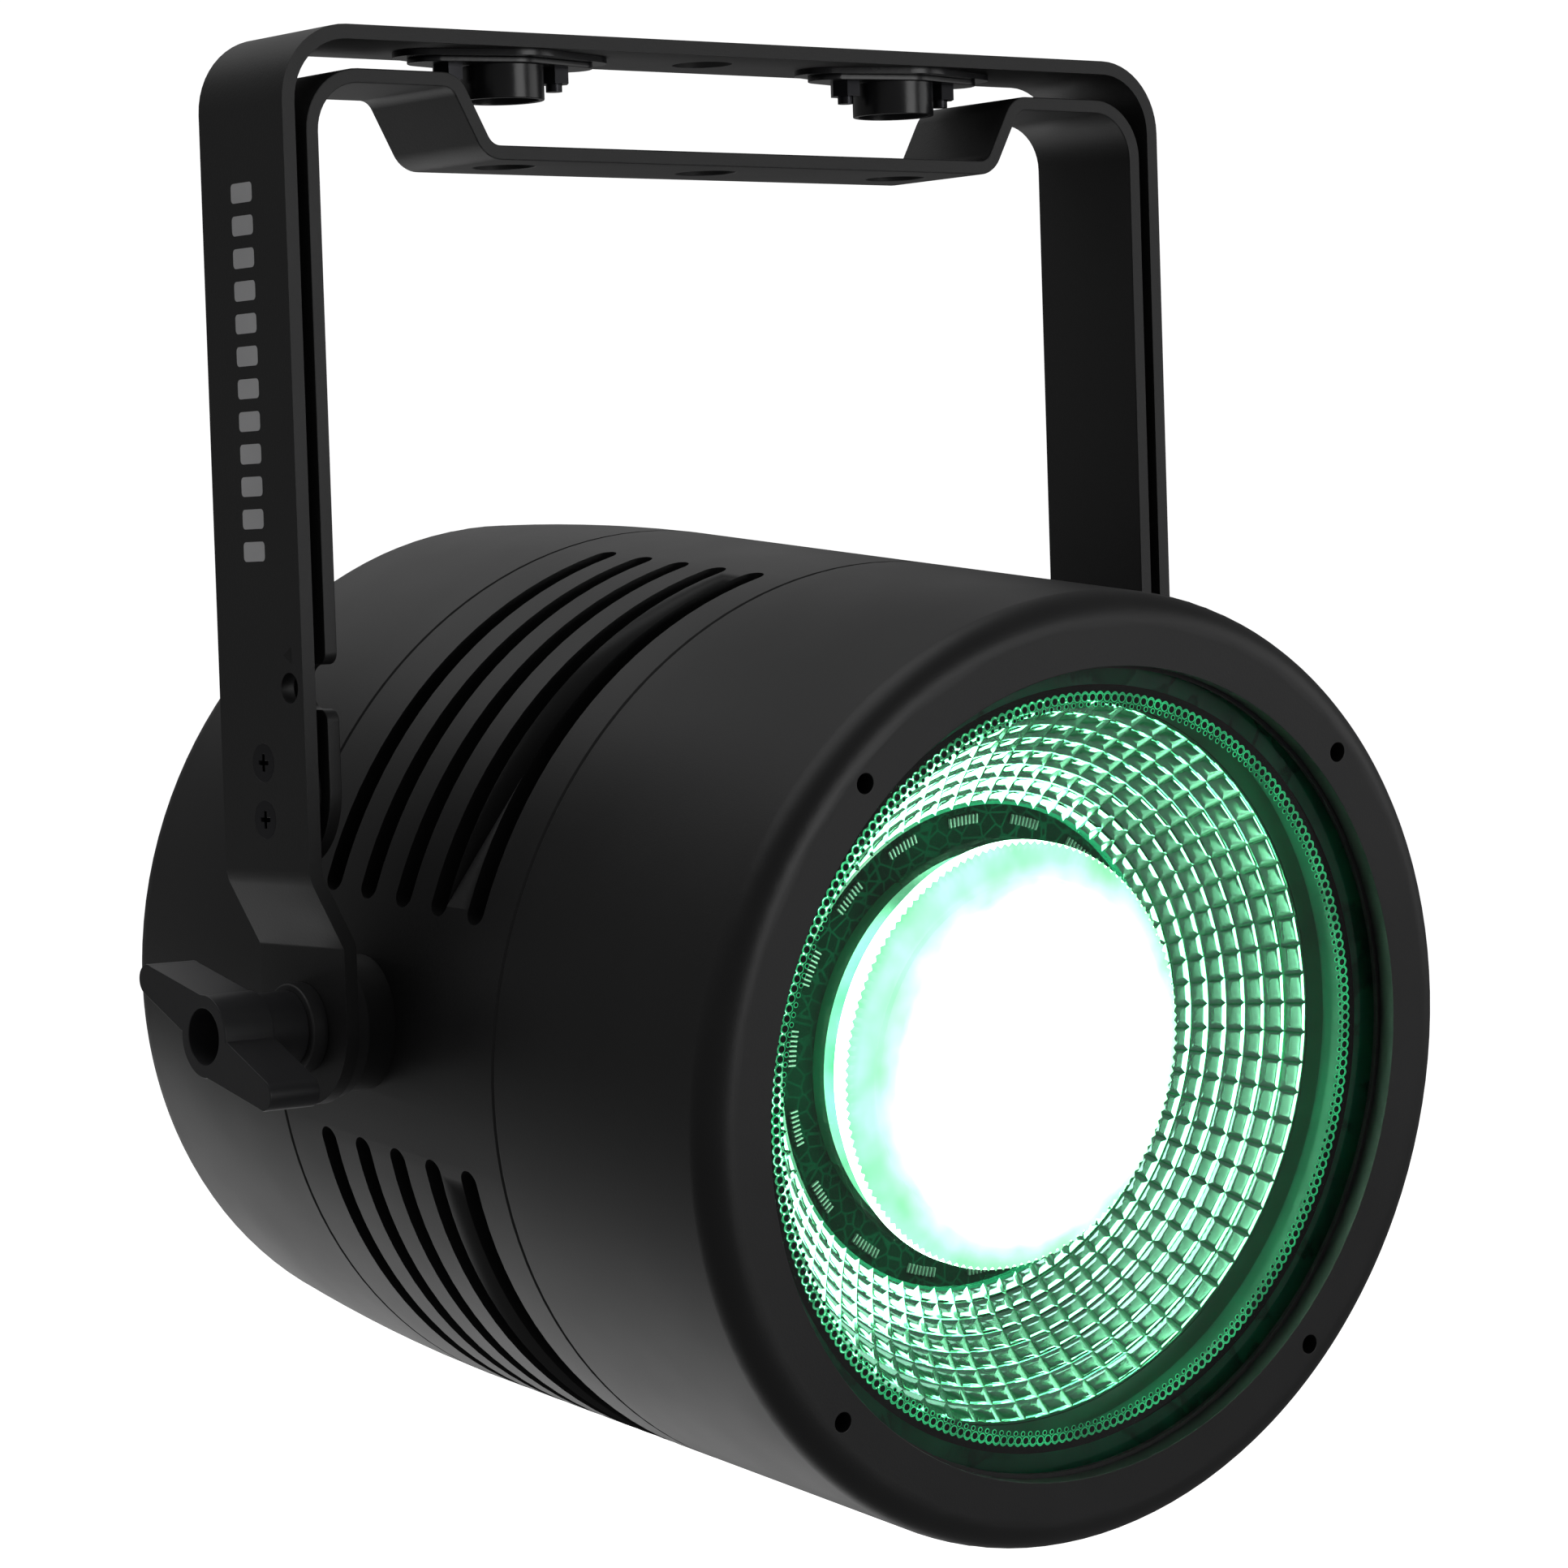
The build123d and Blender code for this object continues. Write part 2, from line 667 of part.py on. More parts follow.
with BuildPart() as friction_discs:
    for side in (-1, 1):
        with BuildSketch(Plane(origin=(side * disc_inner, 0, tilt_z), x_dir=(0, 1, 0), z_dir=(side, 0, 0))):
            Circle(disc_diameter / 2)
            Circle(stud_diameter / 2 + stud_gap, mode=Mode.SUBTRACT)
        extrude(amount=disc_thickness)
keep("friction_discs", friction_discs)

with BuildPart() as pivot_nuts:
    for side in (-1, 1):
        inside = Plane(origin=(side * nut_outer, 0, tilt_z), x_dir=(0, 1, 0), z_dir=(-side, 0, 0))
        with BuildSketch(inside):
            RegularPolygon(pivot_nut_flats / 2, 6, major_radius=False)
            Circle(stud_diameter / 2 + running_gap, mode=Mode.SUBTRACT)
        extrude(amount=pivot_nut_height)
keep("pivot_nuts", pivot_nuts)

# ---- Front glass and its gaskets -----------------------------------------------------------
with BuildPart() as front_glass:
    with BuildSketch(across.offset(glass_back)):
        Circle(glass_diameter / 2)
    extrude(amount=glass_thickness)
    chamfer(front_glass.edges(), 0.4)
keep("front_glass", front_glass)

with BuildPart() as front_gasket:
    with BuildSketch(across.offset(glass_front)):
        Circle(glass_diameter / 2 - 0.5)
        Circle(bezel_bore / 2 - 0.8, mode=Mode.SUBTRACT)
    extrude(amount=gasket_thickness)
keep("front_gasket", front_gasket)

# ---- Baffle: the dark tube that clamps the glass and carries the reflector's rim ----------------
seat_back = ring_back - 3.0
with BuildPart() as lens_baffle:
    with BuildSketch(lengthwise):
        with BuildLine():
            Polyline(
                (baffle_bore, glass_back),
                (pocket_radius - 1.0, glass_back),
                (pocket_radius - 1.0, ring_back),
                (pocket_radius + 7.0, ring_back),
                (pocket_radius + 7.0, seat_back),
                (pocket_radius - 1.0, seat_back),
                (pocket_radius - 1.0, reflector_front - flange_drop),
                (reflector_mouth + 0.6, reflector_front - flange_drop),
                (reflector_mouth + 0.6, reflector_front),
                (baffle_bore, reflector_front + 1.0),
                (baffle_bore, glass_back),
            )
        make_face()
    revolve(axis=lamp_axis)
    with BuildSketch(across.offset(ring_back)):
        with PolarLocations(screw_circle / 2, 6, start_angle=30):
            Circle(baffle_screw / 2)
        with PolarLocations(rod_circle / 2, 4, start_angle=rod_angle):
            Circle(rod_diameter / 2 + rod_gap)
    extrude(amount=seat_back - ring_back, mode=Mode.SUBTRACT)
keep("lens_baffle", lens_baffle)

with BuildPart() as baffle_screws:
    with BuildSketch(across.offset(seat_back)):
        with PolarLocations(screw_circle / 2, 6, start_angle=30):
            Circle(baffle_screw - 0.2)
    extrude(amount=-2.0)
    with BuildSketch(across.offset(seat_back)):
        with PolarLocations(screw_circle / 2, 6, start_angle=30):
            Circle(baffle_screw / 2)
    extrude(amount=ring_back - seat_back + thread_depth)
keep("baffle_screws", baffle_screws)

# ---- Reflector, with its flange behind the baffle ------------------------------------------------
bowl_mid = (
    (reflector_mouth + reflector_throat) / 2 + 2.4,
    (reflector_front + reflector_back) / 2 - 1.6,
)
flange_back = reflector_front - flange_drop - reflector_wall
with BuildPart() as reflector:
    with BuildSketch(lengthwise):
        with BuildLine():
            ThreePointArc(
                (reflector_throat, reflector_back), bowl_mid, (reflector_mouth, reflector_front - 0.5)
            )
            Polyline(
                (reflector_mouth, reflector_front - 0.5),
                (reflector_mouth + 0.4, reflector_front - 0.5),
                (reflector_mouth + 0.4, reflector_front - flange_drop - face_gap),
                (pocket_radius - 2.0, reflector_front - flange_drop - face_gap),
                (pocket_radius - 2.0, flange_back),
                (reflector_mouth - 1.2, flange_back),
            )
            ThreePointArc(
                (reflector_mouth - 1.2, flange_back),
                (bowl_mid[0] + 0.7 * reflector_wall, bowl_mid[1] - 0.9 * reflector_wall),
                (reflector_throat + 0.6, reflector_back - reflector_wall),
            )
            Polyline(
                (reflector_throat + 0.6, reflector_back - reflector_wall),
                (reflector_throat, reflector_back - reflector_wall),
                (reflector_throat, reflector_back),
            )
        make_face()
    revolve(axis=lamp_axis)
keep("reflector", reflector)

# ---- Light engine: board, emitter, ring holder and the round lens ---------------------------------
board_back = sink_front
board_front = board_back + board_thickness
with BuildPart() as led_board:
    with BuildSketch(across.offset(board_back)):
        Circle(board_radius)
        with PolarLocations(board_radius - board_edge, 4, start_angle=45):
            Circle(board_screw / 2 + stud_gap, mode=Mode.SUBTRACT)
    extrude(amount=board_thickness)
keep("led_board", led_board)

with BuildPart() as board_screws:
    with BuildSketch(across.offset(board_front)):
        with PolarLocations(board_radius - board_edge, 4, start_angle=45):
            Circle(board_screw_head / 2)
    extrude(amount=1.2)
    with BuildSketch(across.offset(board_front)):
        with PolarLocations(board_radius - board_edge, 4, start_angle=45):
            Circle(board_screw / 2)
    extrude(amount=-board_thickness)
keep("board_screws", board_screws)

emitter_front = board_front + 1.6
seat_radius = lens_radius - 6.0
with BuildPart() as cob_emitter:
    with BuildSketch(across.offset(board_front)):
        RectangleRounded(emitter_size, emitter_size, 2.0)
    extrude(amount=emitter_plate)
    with BuildSketch(across.offset(board_front)):
        Circle(emitter_disc)
    extrude(amount=emitter_front - board_front)
keep("cob_emitter", cob_emitter)

with BuildPart() as lens_holder:
    with BuildSketch(lengthwise):
        with BuildLine():
            Polyline(
                (seat_radius - 5.0, board_front),
                (seat_radius + 3.0, board_front),
                (seat_radius + 3.0, lens_back + 1.0),
                (seat_radius, lens_back + 1.0),
                (seat_radius, board_front + 1.5),
                (seat_radius - 5.0, board_front + 1.5),
                (seat_radius - 5.0, board_front),
            )
        make_face()
    revolve(axis=lamp_axis)
keep("lens_holder", lens_holder)

with BuildPart() as centre_lens:
    with BuildSketch(lengthwise):
        with BuildLine():
            Polyline(
                (0, lens_back + lens_cavity),
                (0, lens_crown - 1.0),
                (lens_dimple, lens_crown - 1.0),
                (lens_dimple, lens_crown),
            )
            ThreePointArc(
                (lens_dimple, lens_crown),
                (0.68 * lens_radius, (lens_crown + lens_front) / 2 + 0.4),
                (lens_radius, lens_front),
            )
            Polyline(
                (lens_radius, lens_front),
                (lens_radius, lens_front - 4.0),
                (seat_radius - face_gap, lens_back + 1.0),
                (seat_radius - 1.0, lens_back),
                (lens_radius / 2, lens_back),
                (lens_radius / 2 - 2.0, lens_back + lens_cavity),
                (0, lens_back + lens_cavity),
            )
        make_face()
    revolve(axis=lamp_axis)
keep("centre_lens", centre_lens)

# ---- Heat sink with radial fins --------------------------------------------------------------
fin_length = sink_radius - sink_core + 2.0
fan_corner = fan_hole_spacing / 2
with BuildPart() as heat_sink:
    with BuildSketch(across.offset(sink_front)):
        Circle(sink_base_radius)
        with PolarLocations(rod_circle / 2, 4, start_angle=rod_angle):
            Circle(rod_diameter / 2 + rod_gap, mode=Mode.SUBTRACT)
    extrude(amount=-sink_base)
    with BuildSketch(across.offset(sink_front - sink_base)):
        Circle(sink_core)
        with PolarLocations(sink_core + fin_length / 2 - 2.0, fin_count):
            Rectangle(fin_length, fin_thickness)
        with GridLocations(fan_hole_spacing, fan_hole_spacing, 2, 2):
            Circle(4.5)
    extrude(amount=-sink_length)
    with BuildSketch(across.offset(sink_back)):
        with GridLocations(fan_hole_spacing, fan_hole_spacing, 2, 2):
            Circle(1.6)
    extrude(amount=12.0, mode=Mode.SUBTRACT)
keep("heat_sink", heat_sink)

# ---- Cooling fan -----------------------------------------------------------------------------
rotor_back = fan_back + 4.0
with BuildPart() as fan_frame:
    with BuildSketch(across.offset(fan_front)):
        RectangleRounded(fan_size, fan_size, 6.0)
        Circle(fan_bore / 2, mode=Mode.SUBTRACT)
        with GridLocations(fan_hole_spacing, fan_hole_spacing, 2, 2):
            Circle(fan_screw / 2 + 3 * stud_gap, mode=Mode.SUBTRACT)
    extrude(amount=-fan_depth)
    with BuildSketch(across.offset(fan_back)):
        Circle(fan_hub / 2)
        with PolarLocations((fan_bore + fan_hub) / 4, 4, start_angle=20):
            Rectangle((fan_bore - fan_hub) / 2 + 3.0, 4.0)
    extrude(amount=3.0)
keep("fan_frame", fan_frame)

blade_tip = fan_bore / 2 - blade_gap
with BuildPart() as fan_rotor:
    with BuildSketch(across.offset(rotor_back)):
        Circle(fan_hub / 2)
    extrude(amount=fan_front - 1.0 - rotor_back)
    with BuildSketch(across.offset(rotor_back + 2.0)):
        with PolarLocations((blade_tip + fan_hub / 2 - 2.0) / 2, blade_count):
            Rectangle(blade_tip - fan_hub / 2 + 2.0, blade_width)
        Circle(blade_tip, mode=Mode.INTERSECT)
    extrude(amount=blade_thickness)
keep("fan_rotor", fan_rotor)

with BuildPart() as fan_screws:
    with BuildSketch(across.offset(fan_back)):
        with GridLocations(fan_hole_spacing, fan_hole_spacing, 2, 2):
            Circle(fan_screw_head / 2)
    extrude(amount=-2.2)
    with BuildSketch(across.offset(fan_back)):
        with GridLocations(fan_hole_spacing, fan_hole_spacing, 2, 2):
            Circle(fan_screw / 2)
    extrude(amount=fan_depth + fan_thread)
keep("fan_screws", fan_screws)

# ---- Tie rods with their nuts on the heat sink's base ------------------------------------------
with BuildPart() as tie_rods:
    with BuildSketch(across.offset(rod_head_at)):
        with PolarLocations(rod_circle / 2, 4, start_angle=rod_angle):
            Circle(rod_diameter / 2)
    extrude(amount=ring_back + thread_depth - rod_head_at)
    with BuildSketch(across.offset(rod_head_at)):
        with PolarLocations(rod_circle / 2, 4, start_angle=rod_angle):
            Circle(rod_head / 2)
    extrude(amount=-0.7 * rod_diameter)
keep("tie_rods", tie_rods)

with BuildPart() as rod_nuts:
    for start, thickness in ((sink_front, rod_nut_height), (sink_front - sink_base, -rod_nut_height)):
        with BuildSketch(across.offset(start)):
            with PolarLocations(rod_circle / 2, 4, start_angle=rod_angle):
                RegularPolygon(rod_nut_flats / 2, 6, major_radius=False)
                Circle(rod_diameter / 2, mode=Mode.SUBTRACT)
        extrude(amount=thickness)
keep("rod_nuts", rod_nuts)

# ---- Rear panel ---------------------------------------------------------------------------------
button_names = ["menu", "down", "up", "enter"]
button_places = [((step - 1.5) * button_pitch, button_y) for step in range(4)]
socket_places = {**dmx_places, **power_places}
panel_outer = panel_at - panel_thickness
with BuildPart() as rear_panel:
    with BuildSketch(across.offset(panel_outer)):
        Circle(panel_radius)
        with Locations((0, display_y)):
            Rectangle(*display_size, mode=Mode.SUBTRACT)
        with Locations(*button_places):
            Circle(button_diameter / 2 + pocket_gap, mode=Mode.SUBTRACT)
        with Locations(*socket_places.values()):
            Circle(socket_diameter / 2, mode=Mode.SUBTRACT)
            with GridLocations(socket_screw_spacing[0], socket_screw_spacing[1], 2, 2):
                Circle(socket_screw / 2, mode=Mode.SUBTRACT)
        with Locations(fuse_place):
            Circle(fuse_diameter / 2, mode=Mode.SUBTRACT)
        with Locations((-eye_spread / 2, eye_y), (eye_spread / 2, eye_y)):
            Circle(eye_wire / 2, mode=Mode.SUBTRACT)
        with PolarLocations(panel_screw_circle / 2, 6, start_angle=30):
            Circle(panel_screw / 2, mode=Mode.SUBTRACT)
        for side in (-1, 1):
            with Locations((side * exhaust_place[0], exhaust_place[1])):
                with GridLocations(exhaust_pitch, exhaust_pitch, 3, 5):
                    Circle(exhaust_hole / 2, mode=Mode.SUBTRACT)
    extrude(amount=panel_thickness)
keep("rear_panel", rear_panel)

with BuildPart() as panel_screws:
    with BuildSketch(across.offset(panel_outer)):
        with PolarLocations(panel_screw_circle / 2, 6, start_angle=30):
            Circle(panel_screw - 0.1)
    extrude(amount=-1.8)
    fillet(panel_screws.edges().group_by(lamp_axis)[0], radius=0.8)
    with BuildSketch(across.offset(panel_outer)):
        with PolarLocations(panel_screw_circle / 2, 6, start_angle=30):
            Circle(panel_screw / 2)
    extrude(amount=panel_thickness + ledge_thickness)
    with BuildSketch(across.offset(panel_outer - 1.8)):
        with PolarLocations(panel_screw_circle / 2, 6, start_angle=30):
            Rectangle(2.8, 0.7)
            Rectangle(0.7, 2.8)
    extrude(amount=1.1, mode=Mode.SUBTRACT)
keep("panel_screws", panel_screws)

with BuildPart() as standoffs:
    with BuildSketch(across.offset(panel_at)):
        with PolarLocations(standoff_circle / 2, 2, start_angle=standoff_angle):
            Circle(3.5)
        with PolarLocations(standoff_circle / 2, 2, start_angle=180 - standoff_angle):
            Circle(3.5)
    extrude(amount=plate_at - panel_at)
keep("standoffs", standoffs)

with BuildPart() as mounting_plate:
    with BuildSketch(across.offset(plate_at)):
        Circle(plate_radius)
        with GridLocations(0, 1.32 * plate_radius, 1, 2):
            RectangleRounded(0.9 * plate_radius, 0.22 * plate_radius, 5.0, mode=Mode.SUBTRACT)
    extrude(amount=plate_thickness)
keep("mounting_plate", mounting_plate)

with BuildPart() as power_supply:
    with BuildSketch(across.offset(plate_at + plate_thickness)):
        Rectangle(supply_size[0], supply_size[1])
    extrude(amount=supply_size[2])
    fillet(power_supply.edges().filter_by(lamp_axis), radius=2.0)
keep("power_supply", power_supply)

with BuildPart() as control_board:
    with BuildSketch(across.offset(board_at)):
        with Locations((0, board_y)):
            RectangleRounded(board_size[0], board_size[1], 2.0)
    extrude(amount=board_thickness)
    with BuildSketch(across.offset(board_at)):
        with Locations(*button_places):
            Rectangle(6.0, 6.0)
    extrude(amount=-switch_height)
    with BuildSketch(across.offset(board_at + board_thickness)):
        with Locations((0, board_y)):
            with GridLocations(0.35 * board_size[0], 0.4 * board_size[1], 2, 2):
                Rectangle(12.0, 9.0)
    extrude(amount=2.4)
keep("control_board", control_board)

with BuildPart() as display_module:
    with BuildSketch(across.offset(board_at)):
        with Locations((0, display_y)):
            Rectangle(display_size[0] + 6.0, display_size[1] + 4.0)
    extrude(amount=panel_at - board_at)
keep("display_module", display_module)

with BuildPart() as display_window:
    with BuildSketch(across.offset(panel_outer)):
        with Locations((0, display_y)):
            Rectangle(*display_size)
    extrude(amount=panel_thickness)
    chamfer(display_window.faces().sort_by(lamp_axis)[0].edges(), 0.3)
keep("display_window", display_window)

stem_end = board_at - switch_height - button_travel - 0.2
for label, place in zip(button_names, button_places):
    with BuildPart() as button:
        with BuildSketch(across.offset(panel_outer - button_proud)):
            with Locations(place):
                Circle(button_diameter / 2)
        extrude(amount=button_proud + panel_thickness)
        fillet(button.edges().group_by(lamp_axis)[0], radius=1.0)
        with BuildSketch(across.offset(panel_at)):
            with Locations(place):
                Circle(2.0)
        extrude(amount=stem_end - panel_at)
    keep(f"button_{label}", button)

# ---- Power and control sockets ------------------------------------------------------------------
for label, place in socket_places.items():
    mains = label in power_places
    cavity = mouth_power if mains else mouth_dmx
    with BuildPart() as socket:
        with BuildSketch(across.offset(panel_outer)):
            with Locations(place):
                RectangleRounded(*socket_flange, 3.0)
                with GridLocations(socket_screw_spacing[0], socket_screw_spacing[1], 2, 2):
                    Circle(socket_screw / 2, mode=Mode.SUBTRACT)
        extrude(amount=-flange_thickness)
        with BuildSketch(across.offset(panel_outer)):
            with Locations(place):
                Circle(socket_diameter / 2)
        extrude(amount=socket_depth)
        with BuildSketch(across.offset(panel_outer - flange_thickness)):
            with Locations(place):
                Circle(cavity / 2)
        extrude(amount=socket_depth - socket_floor, mode=Mode.SUBTRACT)
        floor_at = panel_outer - flange_thickness + socket_depth - socket_floor
        with BuildSketch(across.offset(floor_at)):
            with Locations(place):
                if mains:
                    Circle(5.5)
                    with Locations((0, 5.5)):
                        Rectangle(3.0, 4.0)
                else:
                    with PolarLocations(4.8, 5, start_angle=18):
                        Circle(1.1)
        extrude(amount=-0.5 * socket_depth if mains else -0.45 * socket_depth)
    keep(label, socket)

with BuildPart() as socket_screws:
    with BuildSketch(across.offset(panel_outer - flange_thickness)):
        with Locations(*socket_places.values()):
            with GridLocations(socket_screw_spacing[0], socket_screw_spacing[1], 2, 2):
                Circle(socket_screw - 0.1)
    extrude(amount=-1.4)
    with BuildSketch(across.offset(panel_outer - flange_thickness)):
        with Locations(*socket_places.values()):
            with GridLocations(socket_screw_spacing[0], socket_screw_spacing[1], 2, 2):
                Circle(socket_screw / 2)
    extrude(amount=flange_thickness + panel_thickness + 2.0)
keep("socket_screws", socket_screws)

with BuildPart() as fuse_holder:
    with BuildSketch(across.offset(panel_outer)):
        with Locations(fuse_place):
            Circle(fuse_diameter / 2 + 2.0)
    extrude(amount=-2.0)
    with BuildSketch(across.offset(panel_outer - 2.0)):
        with Locations(fuse_place):
            Circle(fuse_diameter / 2)
    extrude(amount=-3.5)
    with BuildSketch(across.offset(panel_outer - 5.5)):
        with Locations(fuse_place):
            Rectangle(0.8 * fuse_diameter, 1.6)
    extrude(amount=1.6, mode=Mode.SUBTRACT)
    with BuildSketch(across.offset(panel_outer)):
        with Locations(fuse_place):
            Circle(fuse_diameter / 2)
    extrude(amount=20.0)
keep("fuse_holder", fuse_holder)

# ---- Safety eye: a bent wire loop through the panel, for the safety cable -----------------------
eye_loop = Plane(origin=pivot + upward * eye_y, x_dir=(-1, 0, 0), z_dir=upward)  # y runs forward
with BuildPart() as safety_eye:
    with BuildLine(eye_loop):
        run = FilletPolyline(
            (-eye_spread / 2, panel_at + 3.0),
            (-eye_spread / 2, panel_outer - eye_height),
            (eye_spread / 2, panel_outer - eye_height),
            (eye_spread / 2, panel_at + 3.0),
            radius=eye_bend,
        )
    with BuildSketch(Plane(origin=run @ 0, z_dir=run % 0)):
        Circle(eye_wire / 2)
    sweep()
    with BuildSketch(across.offset(panel_at)):
        with Locations((-eye_spread / 2, eye_y), (eye_spread / 2, eye_y)):
            RegularPolygon(4.0, 6, major_radius=False)
    extrude(amount=2.4)
keep("safety_eye", safety_eye)
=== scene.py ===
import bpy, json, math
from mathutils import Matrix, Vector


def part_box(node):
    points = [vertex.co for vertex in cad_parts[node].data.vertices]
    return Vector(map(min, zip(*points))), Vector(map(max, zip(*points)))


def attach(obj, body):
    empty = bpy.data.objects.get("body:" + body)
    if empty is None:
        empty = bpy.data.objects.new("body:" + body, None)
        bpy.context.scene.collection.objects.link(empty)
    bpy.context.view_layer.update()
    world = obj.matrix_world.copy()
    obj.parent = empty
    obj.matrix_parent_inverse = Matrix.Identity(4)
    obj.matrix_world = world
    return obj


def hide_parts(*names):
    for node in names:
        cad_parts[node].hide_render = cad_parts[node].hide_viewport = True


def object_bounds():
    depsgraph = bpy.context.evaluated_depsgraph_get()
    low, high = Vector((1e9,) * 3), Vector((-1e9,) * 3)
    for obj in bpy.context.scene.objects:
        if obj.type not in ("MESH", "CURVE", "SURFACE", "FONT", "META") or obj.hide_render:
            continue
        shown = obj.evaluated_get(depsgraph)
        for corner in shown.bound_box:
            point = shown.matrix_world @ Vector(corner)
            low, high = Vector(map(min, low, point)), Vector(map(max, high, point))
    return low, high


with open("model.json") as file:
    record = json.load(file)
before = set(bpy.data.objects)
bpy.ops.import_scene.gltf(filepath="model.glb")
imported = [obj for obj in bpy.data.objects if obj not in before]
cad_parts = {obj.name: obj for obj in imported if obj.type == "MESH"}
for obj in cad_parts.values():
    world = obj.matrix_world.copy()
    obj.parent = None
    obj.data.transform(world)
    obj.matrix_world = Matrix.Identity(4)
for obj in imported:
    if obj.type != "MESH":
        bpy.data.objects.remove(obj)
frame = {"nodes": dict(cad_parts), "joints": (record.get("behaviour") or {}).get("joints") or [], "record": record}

# %% [markdown]
# A par light is a round stage lamp. It hangs in a double yoke from one clamp bolt, and lights the
# stage through a flat glass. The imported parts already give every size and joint, so this lesson
# only adds what the eye reads: soft edges, surface grain, the lit lens and its mirrors.
# First the tools are brought in, and the size of the bare parts is kept for the end.

plain_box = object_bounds()
joints = {joint["name"]: joint for joint in frame["joints"]}
mounts = {mount["name"]: mount for mount in frame["record"]["mounts"]}
print("parts:", len(frame["nodes"]), "joints:", len(joints))

# %% [markdown]
# The lamp hangs six degrees nose down, so pieces on it are awkward to place in upright axes.
# The way round this is a second set of axes that lies in the lamp: X to the right, Y up through
# the lamp and Z out of the glass. Each lamp piece is modelled upright in those axes, and one
# matrix then carries its mesh to its real place.

# %% Lamp axes
pivot = Vector(joints["lamp_tilt"]["pos_m"])
forward = Vector(mounts["accessory_holes"]["axis"]).normalized()
upward = Vector((1, 0, 0)).cross(forward) * -1
lamp_axes = Matrix.Translation(pivot) @ Matrix((
    (1, upward.x, forward.x),
    (0, upward.y, forward.y),
    (0, upward.z, forward.z),
)).to_4x4()
face_at = (Vector(mounts["accessory_holes"]["pos_m"]) - pivot).dot(forward)
print("glass side of the bezel is", round(face_at, 4), "m in front of the tilt axis")


def mm(value):
    """Millimetres to metres."""
    return value / 1000


# %% [markdown]
# Operators act on whatever is selected, and the loaded parts start selected. A small helper
# clears the selection before each piece, and another one finishes a piece: it carries the mesh
# to its place, leaves the object itself at the origin, smooths it, gives it its material and
# says which body it moves with.

# %% Helpers for pieces
def clear():
    """Select nothing."""
    if bpy.context.mode != "OBJECT":
        bpy.ops.object.mode_set(mode="OBJECT")
    bpy.ops.object.select_all(action="DESELECT")


def only(obj):
    """Select one object and make it the active one."""
    clear()
    obj.select_set(True)
    bpy.context.view_layer.objects.active = obj


def outward(obj):
    """Weld doubled points and turn every face outwards."""
    only(obj)
    bpy.ops.object.mode_set(mode="EDIT")
    bpy.ops.mesh.select_all(action="SELECT")
    bpy.ops.mesh.remove_doubles(threshold=1e-6)
    bpy.ops.mesh.normals_make_consistent(inside=False)
    bpy.ops.object.mode_set(mode="OBJECT")


def settle(obj, name, body, material, axes=None, smooth=35, stands_for=()):
    """Name a finished piece, put its place into its mesh, and hand it to the frame."""
    only(obj)
    obj.name = obj.data.name = name
    if axes is not None:
        obj.matrix_world = axes @ obj.matrix_world
    bpy.ops.object.transform_apply(location=True, rotation=True, scale=True)
    bpy.ops.object.shade_smooth_by_angle(angle=math.radians(smooth))
    obj.data.materials.clear()
    obj.data.materials.append(material)
    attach(obj, body)
    if stands_for:
        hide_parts(*stands_for)
    print(f"{name}: {len(obj.data.polygons)} faces on {body}")
    return obj


# %% [markdown]
# Most of the optics are round, like work from a lathe. A ring of points is added with the circle
# tool, and each next ring is an extrusion of the last one, resized and moved along the axis. The
# profile is a list of (radius, height) pairs in millimetres.

# %% Lathe
def lathe(profile, steps, close=False):
    """Spin up a surface from (radius, height) pairs, smallest number of moves."""
    clear()
    radius, height = profile[0]
    bpy.ops.mesh.primitive_circle_add(vertices=steps, radius=mm(radius), location=(0, 0, mm(height)))
    bpy.ops.object.transform_apply(location=True, rotation=False, scale=False)
    bpy.ops.object.mode_set(mode="EDIT")
    bpy.ops.mesh.select_all(action="SELECT")
    for new_radius, new_height in profile[1:]:
        bpy.ops.mesh.extrude_region_move()
        grow = new_radius / radius
        bpy.ops.transform.resize(value=(grow, grow, 1), center_override=(0, 0, 0))
        bpy.ops.transform.translate(value=(0, 0, mm(new_height - height)))
        radius, height = new_radius, new_height
    if close:
        bpy.ops.mesh.select_all(action="SELECT")
        bpy.ops.mesh.remove_doubles(threshold=1e-6)
    bpy.ops.object.mode_set(mode="OBJECT")
    return bpy.context.active_object


# %% [markdown]
# The camera stands a little over a metre from the tilt axis, to the lamp's left and just above
# it, with a long lens, so that near and far sides keep almost the same scale. It leans a touch
# to one side. Its place is worked out from the tilt axis, not typed in.

# %% Camera
turn, rise, lean = math.radians(-37.78), math.radians(2.51), math.radians(-1.83)
back = Vector((math.sin(turn) * math.cos(rise), -math.cos(turn) * math.cos(rise), math.sin(rise)))
aside = Vector((math.cos(turn), math.sin(turn), 0))
above = back.cross(aside)
camera_x = math.cos(lean) * aside + math.sin(lean) * above
camera_y = math.cos(lean) * above - math.sin(lean) * aside
camera_data = bpy.data.cameras.new("camera")
camera_data.lens = 113.6
camera_data.sensor_width = 36
camera_data.clip_start, camera_data.clip_end = 0.05, 20
camera = bpy.data.objects.new("camera", camera_data)
bpy.context.scene.collection.objects.link(camera)
place = pivot + back * 1.0801 + camera_x * 0.01136 + camera_y * 0.04402
camera.matrix_world = Matrix.Translation(place) @ Matrix((
    (camera_x.x, camera_y.x, back.x),
    (camera_x.y, camera_y.y, back.y),
    (camera_x.z, camera_y.z, back.z),
)).to_4x4()
bpy.context.scene.camera = camera
print("camera at", [round(value, 3) for value in place])

